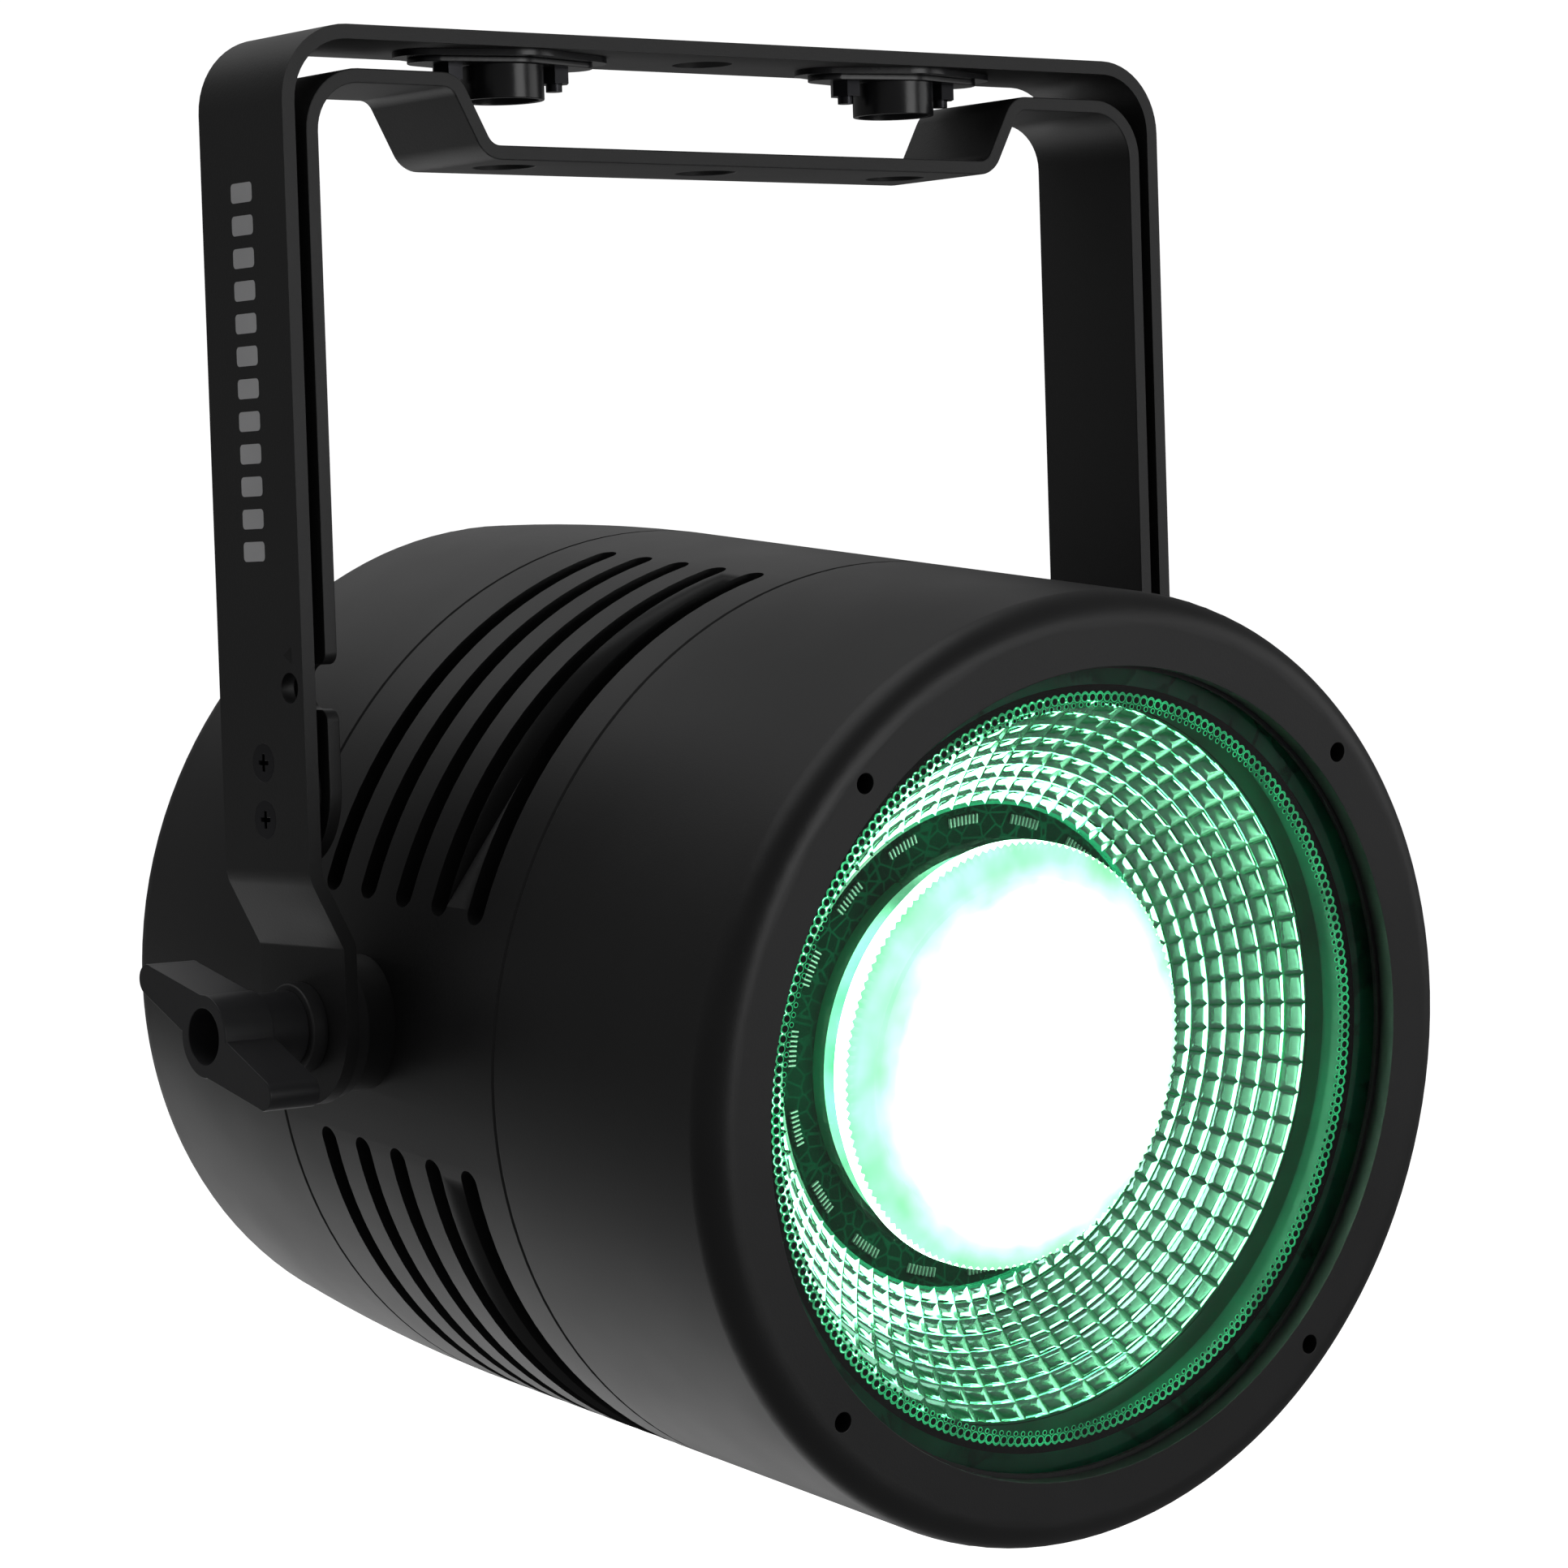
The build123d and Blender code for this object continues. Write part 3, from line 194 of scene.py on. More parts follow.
# %% [markdown]
# Real powder coat is a skin of melted grains: flat black from afar, pebbled close up. Every
# finish here is built the same way, from two noises on the object's own coordinates. A broad one
# drifts the colour and the gloss, and a fine one raises the grain as a bump, at its real size.

# %% Helper for finishes
def finish(name, dark, light, roughness, grain, depth, metallic=0.0, broad=0.03, spread=0.12):
    """A procedural surface: colour drift, gloss drift and a raised grain of the given size in mm."""
    material = bpy.data.materials.new(name)
    material.use_nodes = True
    nodes, links = material.node_tree.nodes, material.node_tree.links
    shader = nodes["Principled BSDF"]
    shader.inputs["Metallic"].default_value = metallic
    place = nodes.new("ShaderNodeTexCoord")
    drift = nodes.new("ShaderNodeTexNoise")
    drift.inputs["Scale"].default_value = 1 / broad
    drift.inputs["Detail"].default_value = 5
    links.new(place.outputs["Object"], drift.inputs["Vector"])
    tint = nodes.new("ShaderNodeValToRGB")
    tint.color_ramp.elements[0].position, tint.color_ramp.elements[1].position = 0.3, 0.7
    tint.color_ramp.elements[0].color = (*dark, 1)
    tint.color_ramp.elements[1].color = (*light, 1)
    links.new(drift.outputs["Fac"], tint.inputs["Fac"])
    links.new(tint.outputs["Color"], shader.inputs["Base Color"])
    gloss = nodes.new("ShaderNodeMapRange")
    gloss.inputs["To Min"].default_value = roughness - spread / 2
    gloss.inputs["To Max"].default_value = roughness + spread / 2
    links.new(drift.outputs["Fac"], gloss.inputs["Value"])
    links.new(gloss.outputs["Result"], shader.inputs["Roughness"])
    pebbles = nodes.new("ShaderNodeTexNoise")
    pebbles.inputs["Scale"].default_value = 1 / mm(grain)
    pebbles.inputs["Detail"].default_value = 3
    links.new(place.outputs["Object"], pebbles.inputs["Vector"])
    bump = nodes.new("ShaderNodeBump")
    bump.inputs["Strength"].default_value = 0.6
    bump.inputs["Distance"].default_value = mm(depth)
    links.new(pebbles.outputs["Fac"], bump.inputs["Height"])
    links.new(bump.outputs["Normal"], shader.inputs["Normal"])
    return material


# %% Metals
powder = finish("powder_coat", (0.011, 0.011, 0.0115), (0.016, 0.016, 0.0165), 0.5, 0.55, 0.05)
body_powder = finish("body_powder_coat", (0.009, 0.009, 0.0095), (0.013, 0.013, 0.0135), 0.46, 0.4, 0.03)
black_steel = finish(
    "black_oxide_steel", (0.02, 0.02, 0.022), (0.05, 0.05, 0.055), 0.3, 0.3, 0.01, metallic=0.9,
)
zinc = finish("bright_zinc", (0.42, 0.43, 0.45), (0.62, 0.62, 0.62), 0.28, 0.4, 0.01, metallic=1.0)
cam_black = finish("cam_black", (0.012, 0.012, 0.013), (0.022, 0.022, 0.024), 0.25, 1.2, 0.03)
sink_metal = finish("sink_aluminium", (0.55, 0.56, 0.58), (0.72, 0.72, 0.73), 0.35, 0.3, 0.01, metallic=1.0)
print("metals done")

# %% Plastics and rubber
knob_plastic = finish("knob_plastic", (0.018, 0.018, 0.02), (0.027, 0.027, 0.029), 0.42, 0.7, 0.03)
nylon = finish("black_nylon", (0.02, 0.02, 0.021), (0.03, 0.03, 0.031), 0.5, 0.5, 0.01)
rubber = finish("gasket_rubber", (0.006, 0.006, 0.006), (0.012, 0.012, 0.012), 0.6, 0.5, 0.01)
# The baffle's green is painted green light from the lens; the plastic itself is black.
baffle_black_painted_green_light = finish(
    "baffle_plastic_painted_green_light", (0.004, 0.05, 0.028), (0.008, 0.13, 0.07), 0.2, 14.0, 0.3, spread=0.06,
)
button_grey = finish("button_grey", (0.09, 0.09, 0.1), (0.12, 0.12, 0.13), 0.45, 0.4, 0.01)
socket_black = finish("socket_black", (0.015, 0.015, 0.016), (0.024, 0.024, 0.026), 0.38, 0.5, 0.01)
socket_blue = finish("socket_blue", (0.03, 0.09, 0.3), (0.05, 0.13, 0.38), 0.38, 0.5, 0.01)
socket_grey = finish("socket_grey", (0.45, 0.46, 0.48), (0.55, 0.56, 0.58), 0.38, 0.5, 0.01)
phosphor = finish("phosphor", (0.6, 0.55, 0.2), (0.75, 0.68, 0.3), 0.4, 0.8, 0.02)
print("plastics done")

# %% [markdown]
# The front glass is clear float glass. The light must pass it freely, so the plain way is full
# transmission with no roughness, a faint green body colour, and smears too weak to see head on.
# Lamp glass is coated against reflections, so its specular level is halved.

# %% Glass
glass = finish(
    "front_glass", (0.93, 0.985, 0.96), (0.96, 1.0, 0.98), 0.012, 30.0, 0.002, spread=0.02, broad=0.05,
)
glass.node_tree.nodes["Principled BSDF"].inputs["Transmission Weight"].default_value = 1.0
glass.node_tree.nodes["Principled BSDF"].inputs["IOR"].default_value = 1.47
glass.node_tree.nodes["Principled BSDF"].inputs["Specular IOR Level"].default_value = 0.25
window = finish("display_window", (0.01, 0.012, 0.016), (0.014, 0.018, 0.024), 0.08, 40.0, 0.002, spread=0.04)
print("glass done")

# %% [markdown]
# The reflector is moulded plastic with a metal skin. It takes its light from the lens, so the
# material is a mirror with small ripples. Its green tint is painted green light: what does not mirror
# the lens stays dark green, as it does behind a bright green source. The flange round it is plastic
# whose green colour is painted green light from the lens.

# %% Mirror
# The green of the mirror's metal is painted green light from the lens.
mirror = finish(
    "reflector_mirror", (0.3, 0.7, 0.5), (0.44, 0.84, 0.64), 0.09, 1.6, 0.012, metallic=1.0, spread=0.06,
)
# The flange's green colour is painted green light from the lens, not the plastic's own colour.
flange_painted_green_light = finish("flange_painted_green_light", (0.004, 0.09, 0.045), (0.008, 0.15, 0.08), 0.22, 6.0, 0.01, spread=0.06)
print("mirror and flange done")

# %% [markdown]
# The lens stands over a green chip array at full power. Its middle is far brighter than its rim,
# so the strength of the glow falls with the distance from the axis, while its colour goes from
# nearly white to mint green. The chips lie deeper than the dome, so the bright middle is set a
# few millimetres off the axis, where they are seen through the glass.

# %% Lit lens
def lit(name, tints, rings, ripple=0.0, shift=0.0):
    """Glow by distance from the lamp's axis: rings of (radius mm, strength), tints of (share, colour)."""
    material = bpy.data.materials.new(name)
    material.use_nodes = True
    nodes, links = material.node_tree.nodes, material.node_tree.links
    shader = nodes["Principled BSDF"]
    shader.inputs["Base Color"].default_value = (0.02, 0.12, 0.06, 1)
    shader.inputs["Roughness"].default_value = 0.15
    place = nodes.new("ShaderNodeTexCoord")
    centre = nodes.new("ShaderNodeMapping")
    centre.vector_type = "POINT"
    centre.inputs["Location"].default_value = -pivot - Vector((mm(shift), 0, mm(-0.5 * shift)))
    links.new(place.outputs["Object"], centre.inputs["Vector"])
    off_axis = nodes.new("ShaderNodeVectorMath")
    off_axis.operation = "CROSS_PRODUCT"
    off_axis.inputs[1].default_value = forward
    links.new(centre.outputs["Vector"], off_axis.inputs[0])
    radius = nodes.new("ShaderNodeVectorMath")
    radius.operation = "LENGTH"
    links.new(off_axis.outputs["Vector"], radius.inputs[0])
    outermost = mm(rings[-1][0])
    share = nodes.new("ShaderNodeMapRange")
    share.inputs["From Max"].default_value = outermost
    links.new(radius.outputs["Value"], share.inputs["Value"])
    tint = nodes.new("ShaderNodeValToRGB")
    while len(tint.color_ramp.elements) < len(tints):
        tint.color_ramp.elements.new(0.5)
    for stop, (where, colour) in zip(tint.color_ramp.elements, tints):
        stop.position, stop.color = where, (*colour, 1)
    links.new(share.outputs["Result"], tint.inputs["Fac"])
    links.new(tint.outputs["Color"], shader.inputs["Emission Color"])
    brightness = nodes.new("ShaderNodeFloatCurve")
    curve = brightness.mapping.curves[0]
    top = max(strength for _, strength in rings)
    while len(curve.points) < len(rings):
        curve.points.new(0.5, 0.5)
    for point, (ring, strength) in zip(curve.points, rings):
        point.location = (mm(ring) / outermost, strength / top)
        point.handle_type = "VECTOR"
    brightness.mapping.update()
    links.new(share.outputs["Result"], brightness.inputs["Value"])
    power = nodes.new("ShaderNodeMath")
    power.operation = "MULTIPLY"
    power.inputs[1].default_value = top
    links.new(brightness.outputs["Value"], power.inputs[0])
    patches = nodes.new("ShaderNodeTexNoise")
    patches.inputs["Scale"].default_value = 1 / 0.012
    links.new(place.outputs["Object"], patches.inputs["Vector"])
    uneven = nodes.new("ShaderNodeMapRange")
    uneven.inputs["From Min"].default_value, uneven.inputs["From Max"].default_value = 0.3, 0.7
    uneven.inputs["To Min"].default_value, uneven.inputs["To Max"].default_value = 1 - ripple, 1 + ripple
    links.new(patches.outputs["Fac"], uneven.inputs["Value"])
    mixed = nodes.new("ShaderNodeMath")
    mixed.operation = "MULTIPLY"
    links.new(power.outputs["Value"], mixed.inputs[0])
    links.new(uneven.outputs["Result"], mixed.inputs[1])
    links.new(mixed.outputs["Value"], shader.inputs["Emission Strength"])
    return material


lens_glow = lit(
    "lens_glow",
    [(0.0, (0.62, 1.0, 0.74)), (0.62, (0.62, 1.0, 0.74)), (0.82, (0.28, 1.0, 0.44)), (1.0, (0.22, 1.0, 0.4))],
    [(0, 7.0), (6.4, 7.0), (7, 6.0), (24, 7.0), (33, 6.0), (38, 2.4), (42, 1.7), (46, 1.9), (52, 1.2)],
    ripple=0.35, shift=4.5,
)
skirt_glow = lit(
    "skirt_glow", [(0.0, (0.55, 1.0, 0.7)), (1.0, (0.55, 1.0, 0.7))],
    [(0, 12.0), (30, 12.0), (50, 14.0)], ripple=0.6,
)
print("lens glow ready")

# %% [markdown]
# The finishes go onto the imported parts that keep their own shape. Only the material slots are
# touched. A list per finish keeps this readable.

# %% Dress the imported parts
def dress(material, *names):
    for name in names:
        node = frame["nodes"][name]
        node.data.materials.clear()
        node.data.materials.append(material)


dress(
    black_steel, "hinge_plates", "lock_screws", "lock_nuts", "panel_screws", "socket_screws", "tie_rods",
    "baffle_screws",
)
dress(zinc, "pivot_nuts", "rod_nuts", "standoffs", "mounting_plate", "fan_screws", "board_screws")
dress(zinc, "tilt_stud_left", "tilt_stud_right")
dress(nylon, "hinge_blocks", "friction_discs", "fan_frame", "fan_rotor")
dress(baffle_black_painted_green_light, "lens_holder")
dress(sink_metal, "heat_sink", "power_supply")
dress(rubber, "front_gasket")
dress(baffle_black_painted_green_light, "lens_baffle")
dress(phosphor, "cob_emitter")
dress(window, "display_window", "display_module")
dress(button_grey, "button_menu", "button_down", "button_up", "button_enter")
dress(glass, "front_glass")
dress(cam_black, "lock_plate_left", "lock_plate_right")
print("packed parts dressed")

# %% [markdown]
# Bent and cast metal has no knife edges: the coating pools on them and each one catches a thin
# line of light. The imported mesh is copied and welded, its flat faces are merged, and a bevel
# modifier rounds what is still sharp. Large flat faces then get the say over the shading, with a
# weighted normal modifier, so that no streaks run across them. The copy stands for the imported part.

# %% Soft edges
def softened(node, width, body, material, segments=2, angle=32):
    """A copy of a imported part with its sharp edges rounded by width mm."""
    clear()
    copy = bpy.data.objects.new(node + "_soft", frame["nodes"][node].data.copy())
    bpy.context.scene.collection.objects.link(copy)
    only(copy)
    bpy.ops.mesh.customdata_custom_splitnormals_clear()
    bpy.ops.object.mode_set(mode="EDIT")
    bpy.ops.mesh.select_all(action="SELECT")
    bpy.ops.mesh.remove_doubles(threshold=1e-6)
    bpy.ops.mesh.dissolve_limited(angle_limit=math.radians(0.6))
    bpy.ops.object.mode_set(mode="OBJECT")
    bevel = copy.modifiers.new("soft", "BEVEL")
    bevel.width = mm(width)
    bevel.segments = segments
    bevel.limit_method = "ANGLE"
    bevel.angle_limit = math.radians(angle)
    bpy.ops.object.modifier_apply(modifier="soft")
    settle(copy, node + "_soft", body, material, stands_for=[node])
    even = copy.modifiers.new("even", "WEIGHTED_NORMAL")
    even.keep_sharp = True
    bpy.ops.object.modifier_apply(modifier="even")
    return copy


softened("outer_yoke", 0.45, "yoke", powder)
softened("inner_bracket", 0.45, "bracket", powder)
softened("vent_band", 0.5, "lamp", body_powder)
softened("front_housing", 0.25, "lamp", body_powder)
softened("rear_housing", 0.25, "lamp", body_powder)
softened("rear_panel", 0.15, "lamp", body_powder)
softened("hinge_screws", 0.12, "yoke", black_steel)
softened("fuse_holder", 0.3, "lamp", knob_plastic)
softened("safety_eye", 0.2, "lamp", zinc)
for name, finish_of in (("dmx_input", socket_black), ("dmx_output", socket_black),
                        ("power_inlet", socket_blue), ("power_outlet", socket_grey)):
    softened(name, 0.35, "lamp", finish_of)
for side in ("left", "right"):
    softened("tilt_knob_" + side, 0.45, "knob_" + side, knob_plastic)
    softened("knob_collar_" + side, 0.2, "knob_" + side, nylon)
    softened("lock_cam_" + side, 0.25, "yoke", cam_black)

# %% [markdown]
# The bowl of the reflector is a grid of small mirrors: eight rows of seventy-two, each a little pillow
# that shows its own mirror image of the lens. The rows are lathed first with 72 steps, so every
# face is one mirror. Insetting each face alone and lifting its middle makes the pillow, and the
# seams between pillows stay sharp. The thin lips at mouth and throat stay plain.

# %% Reflector
rows, mirrors_round = 8, 72
throat_radius, throat_height = 50.3, 81
bowl_widens, bowl_rises, bowl_sags = 23.7, 20, 7.2
bowl = []
for row in range(rows + 1):
    share = row / rows
    sag = bowl_sags * share * (1 - share)
    bowl.append((throat_radius + bowl_widens * share, throat_height + bowl_rises * share - sag))
reflector = lathe(bowl, mirrors_round)
reflector.name = "reflector_bowl"
only(reflector)
bpy.ops.object.mode_set(mode="EDIT")
bpy.ops.mesh.select_all(action="SELECT")
bpy.ops.mesh.normals_make_consistent(inside=True)
for inset, lift in ((0.2, 0.14), (0.4, 0.22), (0.5, 0.18), (0.5, 0.07)):
    bpy.ops.mesh.inset(thickness=mm(inset), depth=mm(lift), use_individual=True)
bpy.ops.object.mode_set(mode="OBJECT")
settle(reflector, "reflector_mirrors", "lamp", mirror, axes=lamp_axes, smooth=24)
lips = lathe([(50.3, 78.9), (50.2, 81.0), (50.9, 81.0), (50.9, 79.4), (51.5, 79.2)], 120)
settle(lips, "reflector_throat", "lamp", flange_painted_green_light, axes=lamp_axes)
flange = lathe([(73.9, 100.9), (74.4, 101.0), (74.4, 97.0), (83.0, 97.0), (83.0, 95.4), (73.0, 95.4)], 160)
outward(flange)
settle(flange, "reflector_flange", "lamp", flange_painted_green_light, axes=lamp_axes, stands_for=["reflector"])

# %% [markdown]
# The lens is a low glass dome on a stepped shoulder, with a small flat in the middle and a rim
# cut into fine teeth that sparkle. It is lathed in 280 steps, and every second point of the two
# rim rings is then drawn in, which makes 140 teeth. Below the rim a plain skirt narrows down to
# the chips; it is the part that the reflector mostly mirrors.

# %% Lens
dome = [(0.01, 97.0), (6.4, 97.0), (6.7, 98.0), (14, 97.9), (22, 97.4), (30, 96.5), (36.6, 95.2),
        (37.2, 94.4), (38.0, 94.3), (42.6, 94.0), (44.3, 93.4), (44.0, 93.0)]
lens = lathe(dome, 280)
clear()
only(lens)
bpy.ops.object.mode_set(mode="EDIT")
bpy.ops.mesh.select_all(action="DESELECT")
bpy.ops.object.mode_set(mode="OBJECT")
spacing = 2 * math.pi / 280
for point in lens.data.vertices:
    reach = math.hypot(point.co.x, point.co.y)
    step = round(math.atan2(point.co.y, point.co.x) / spacing)
    point.select = step % 2 == 0 and mm(42.0) < reach
bpy.ops.object.mode_set(mode="EDIT")
bpy.ops.transform.resize(value=(0.982, 0.982, 1), center_override=(0, 0, 0))
bpy.ops.object.mode_set(mode="OBJECT")
outward(lens)
settle(lens, "lens_dome", "lamp", lens_glow, axes=lamp_axes, smooth=28, stands_for=["centre_lens"])
skirt = lathe(
    [(43.6, 93.2), (44.1, 92.8), (44.1, 90.4), (41.5, 86.5), (38.2, 83.0), (37.3, 82.0), (22.0, 82.0)], 120,
)
outward(skirt)
settle(skirt, "lens_skirt", "lamp", skirt_glow, axes=lamp_axes)

# %% [markdown]
# Round the foot of the lens a ring of green circuit board shows, with rows of tiny resistors on
# it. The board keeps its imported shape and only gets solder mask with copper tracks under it. One
# resistor is a bevelled cube; a row of eight is made by spin with copies, and the row is spun
# round the axis the same way.

# %% Circuit board finish
board_green = finish("board_green", (0.0, 0.004, 0.002), (0.0002, 0.01, 0.005), 0.5, 0.8, 0.02)
nodes, links = board_green.node_tree.nodes, board_green.node_tree.links
nodes["Principled BSDF"].inputs["Specular IOR Level"].default_value = 0.0
tracks = nodes.new("ShaderNodeTexVoronoi")
tracks.feature = "DISTANCE_TO_EDGE"
tracks.inputs["Scale"].default_value = 1 / mm(3.2)
links.new(nodes["Texture Coordinate"].outputs["Object"], tracks.inputs["Vector"])
track_edge = nodes.new("ShaderNodeMath")
track_edge.operation = "LESS_THAN"
track_edge.inputs[1].default_value = 0.06
links.new(tracks.outputs["Distance"], track_edge.inputs[0])
track_mix = nodes.new("ShaderNodeMix")
track_mix.data_type = "RGBA"
track_mix.inputs["B"].default_value = (0.0004, 0.018, 0.009, 1)
links.new(track_edge.outputs["Value"], track_mix.inputs["Factor"])
links.new(nodes["Color Ramp"].outputs["Color"], track_mix.inputs["A"])
links.new(track_mix.outputs["Result"], nodes["Principled BSDF"].inputs["Base Color"])
dress(board_green, "led_board", "control_board")
print("board finish done")

# %% Resistor rows
solder = finish("resistor_ends", (0.05, 0.09, 0.07), (0.08, 0.13, 0.1), 0.4, 0.3, 0.01, metallic=0.3)
clear()
bpy.ops.mesh.primitive_cube_add(size=1, location=(mm(47.3), 0, mm(80.0)))
chip = bpy.context.active_object
chip.scale = (mm(2.0), mm(0.4), mm(0.7))
bpy.ops.object.transform_apply(location=True, rotation=True, scale=True)
bpy.ops.object.mode_set(mode="EDIT")
bpy.ops.mesh.select_all(action="SELECT")
bpy.ops.mesh.bevel(offset=mm(0.1), segments=1)
bpy.ops.mesh.select_all(action="SELECT")
bpy.ops.mesh.spin(steps=7, dupli=True, angle=math.radians(8.4), center=(0, 0, 0), axis=(0, 0, 1))
bpy.ops.mesh.select_all(action="SELECT")
bpy.ops.mesh.spin(steps=17, dupli=True, angle=math.radians(340), center=(0, 0, 0), axis=(0, 0, 1))
bpy.ops.object.mode_set(mode="OBJECT")
settle(chip, "resistor_rows", "lamp", solder, axes=lamp_axes)

# %% [markdown]
# The edge of the glass is printed black from behind, to hide the clamp ring. Towards the middle
# the print breaks up into dots, so that the edge looks soft from the seats. The solid part is a
# flat ring whose inner edge is scalloped, with a thin bright line where the ink stops, because
# light that travels inside the glass leaks out there. Two rings of dots follow, made by spin, each
# dot over a slightly larger glowing disc, which leaves a lit outline round it.

# %% Printed border
ink = finish("border_ink", (0.002, 0.002, 0.002), (0.004, 0.004, 0.004), 0.7, 1.0, 0.005)
ink.node_tree.nodes["Principled BSDF"].inputs["Specular IOR Level"].default_value = 0.02
ink_edge = lit(
    "ink_edge_glow", [(0, (0.05, 1.0, 0.36)), (1, (0.05, 1.0, 0.36))], [(0, 0.42), (90, 0.42)], ripple=0.6,
)


def scalloped(profile, name, material):
    """A flat ring with 240 scallops: one point in six stays, the next five swell outwards."""
    ring = lathe(profile, 1440)
    inner = min(radius for radius, _ in profile) + 0.6
    for phase, swell in ((1, 0.5), (2, 0.85), (3, 1.0), (4, 0.85), (5, 0.5)):
        only(ring)
        bpy.ops.object.mode_set(mode="EDIT")
        bpy.ops.mesh.select_all(action="DESELECT")
        bpy.ops.object.mode_set(mode="OBJECT")
        for point in ring.data.vertices:
            step = round(math.atan2(point.co.y, point.co.x) / (2 * math.pi / 1440))
            point.select = step % 6 == phase and math.hypot(point.co.x, point.co.y) < mm(inner)
        bpy.ops.object.mode_set(mode="EDIT")
        grow = 1 + swell * 0.62 / 76
        bpy.ops.transform.resize(value=(grow, grow, 1), center_override=(0, 0, 0))
        bpy.ops.object.mode_set(mode="OBJECT")
    return settle(ring, name, "lamp", material, axes=lamp_axes)


scalloped([(84.0, 111.44), (76.0, 111.44)], "glass_print", ink)
scalloped([(76.04, 111.43), (75.78, 111.43)], "glass_print_edge", ink_edge)


def dots(name, radius, size, turn, height, material):
    """240 round dots on a circle."""
    clear()
    place = (mm(radius) * math.cos(turn), mm(radius) * math.sin(turn), mm(height))
    bpy.ops.mesh.primitive_circle_add(vertices=10, radius=mm(size / 2), fill_type="NGON", location=place)
    dot = bpy.context.active_object
    bpy.ops.object.transform_apply(location=True, rotation=True, scale=True)
    bpy.ops.object.mode_set(mode="EDIT")
    bpy.ops.mesh.select_all(action="SELECT")
    bpy.ops.mesh.spin(steps=239, dupli=True, angle=2 * math.pi * 239 / 240, center=(0, 0, 0), axis=(0, 0, 1))
    bpy.ops.object.mode_set(mode="OBJECT")
    return settle(dot, name, "lamp", material, axes=lamp_axes)


dots("glass_halos_large", 75.35, 1.95, math.radians(0.75), 111.40, ink_edge)
dots("glass_dots_large", 75.35, 1.45, math.radians(0.75), 111.46, ink)
dots("glass_halos_small", 73.95, 1.2, 0.0, 111.40, ink_edge)
dots("glass_dots_small", 73.95, 0.8, 0.0, 111.46, ink)

# %% [markdown]
# The maker's lettering on the leg is left out. A plain ladder of white bars takes its place, so
# that the dark leg still has a printed mark of that size. One bar is a plane with its corners
# bevelled, and an array modifier repeats it down the leg. Below it, a small stamped triangle
# points at the lock hole.

# %% Leg marks
white_ink = finish("white_print", (0.6, 0.6, 0.61), (0.72, 0.72, 0.73), 0.5, 0.6, 0.01)
stamp_dark = finish("stamped_dark", (0.003, 0.003, 0.003), (0.006, 0.006, 0.006), 0.6, 0.5, 0.01)
print_stands_off = mm(0.03)
leg_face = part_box("outer_yoke")[0].x - print_stands_off
bar_count, bar_pitch = 12, 6.6
clear()
bpy.ops.mesh.primitive_plane_add(
    size=1, location=(leg_face, mm(0.5), mm(-33)), rotation=(0, math.radians(-90), 0),
)
bar = bpy.context.active_object
bar.scale = (mm(4.0), mm(8.0), 1)
bpy.ops.object.transform_apply(location=True, rotation=True, scale=True)
bpy.ops.object.mode_set(mode="EDIT")
bpy.ops.mesh.select_all(action="SELECT")
bpy.ops.mesh.bevel(offset=mm(0.9), segments=4, affect="VERTICES")
bpy.ops.object.mode_set(mode="OBJECT")
ladder = bar.modifiers.new("ladder", "ARRAY")
ladder.count = bar_count
ladder.use_relative_offset = False
ladder.use_constant_offset = True
ladder.constant_offset_displace = (0, 0, mm(-bar_pitch))
bpy.ops.object.modifier_apply(modifier="ladder")
settle(bar, "leg_bars", "yoke", white_ink)
lock = Vector(mounts["lock_hole_left"]["pos_m"])
clear()
bpy.ops.mesh.primitive_circle_add(
    vertices=3, radius=mm(1.9), fill_type="NGON",
    location=(leg_face, lock.y, lock.z + mm(6.6)), rotation=(0, math.radians(-90), 0),
)
stamp = bpy.context.active_object
bpy.ops.object.transform_apply(location=True, rotation=True, scale=True)
settle(stamp, "lock_stamp", "yoke", stamp_dark)

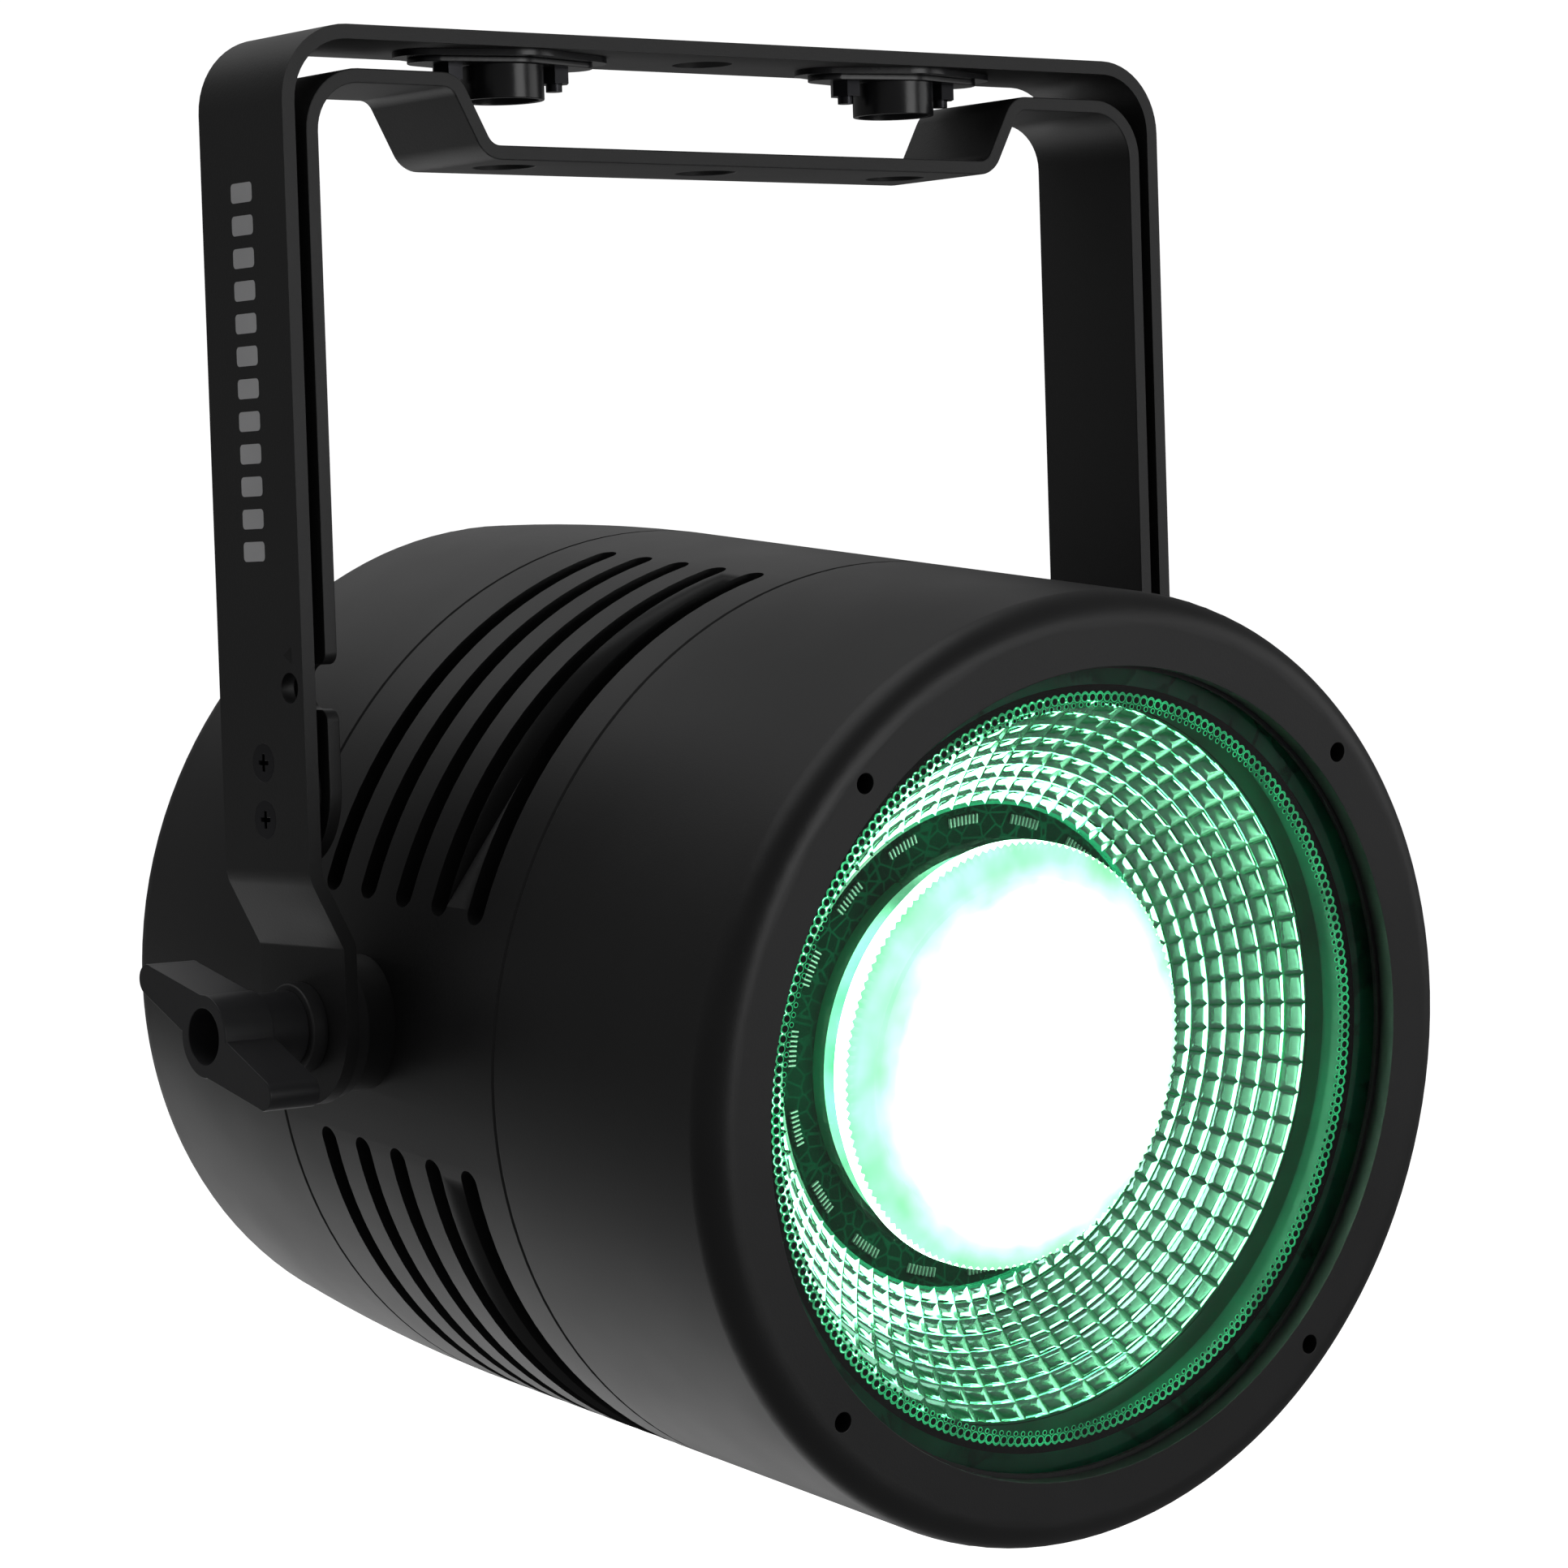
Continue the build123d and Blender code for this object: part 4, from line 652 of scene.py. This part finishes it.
# %% [markdown]
# A studio for a dark object is mostly large soft lights: the black coat shows little colour of
# its own, so its shape is drawn by what it mirrors. The floor is the bottom of one pale sweep
# that curves up into the walls, well below the hanging lamp. The sweep is lit so strongly that it
# would flood the black coat with grey, so only the camera sees it, and the lamp is lit by five
# soft lights and a dim grey sky. Two of them stand behind, high and low, where a white backdrop
# would shine along the top and the underside of the body.

# %% Floor and sweep
paper = finish("backdrop_paper", (0.86, 0.86, 0.86), (0.9, 0.9, 0.9), 0.9, 2.0, 0.02, broad=0.8, spread=0.05)
paper.node_tree.nodes["Principled BSDF"].inputs["Emission Color"].default_value = (1, 1, 1, 1)
paper.node_tree.nodes["Principled BSDF"].inputs["Emission Strength"].default_value = 0.95
floor_at = plain_box[0].z - 0.12
sweep = lathe([
    (1, floor_at * 1000), (4500, floor_at * 1000), (5500, floor_at * 1000 + 300),
    (6000, floor_at * 1000 + 1200), (6000, 5000), (1, 5200),
], 64)
only(sweep)
bpy.ops.object.shade_smooth()
sweep.name = "sweep"
sweep.data.materials.append(paper)
sweep.visible_diffuse = sweep.visible_glossy = sweep.visible_transmission = sweep.visible_shadow = False
print("floor at", round(floor_at, 3))


# %% Lights
def soft_light(name, place, size, power, target):
    """A square area light that faces the target."""
    data = bpy.data.lights.new(name, "AREA")
    data.shape = "SQUARE"
    data.size = size
    data.energy = power
    light = bpy.data.objects.new(name, data)
    bpy.context.scene.collection.objects.link(light)
    light.location = place
    light.rotation_mode = "QUATERNION"
    light.rotation_quaternion = (Vector(target) - Vector(place)).to_track_quat("-Z", "Y")
    return light


aim = pivot + Vector((0, 0, 0.04))
soft_light("front", (0.5, -1.8, -0.1), 0.9, 6.5, aim)
soft_light("fill_right", (1.6, -0.9, 0.1), 1.0, 3, aim)
soft_light("overhead", (-0.4, 0.3, 1.2), 1.4, 6, aim)
soft_light("back_high", (0.5, 1.4, 0.95), 1.5, 2.4, aim)
soft_light("back_low", (0.1, 1.4, -1.2), 1.5, 6, aim)
sky = bpy.data.worlds.new("studio")
bpy.context.scene.world = sky
sky.use_nodes = True
sky.node_tree.nodes["Background"].inputs["Color"].default_value = (1, 1, 1, 1)
sky.node_tree.nodes["Background"].inputs["Strength"].default_value = 0.13
bpy.context.scene.view_settings.view_transform = "Standard"
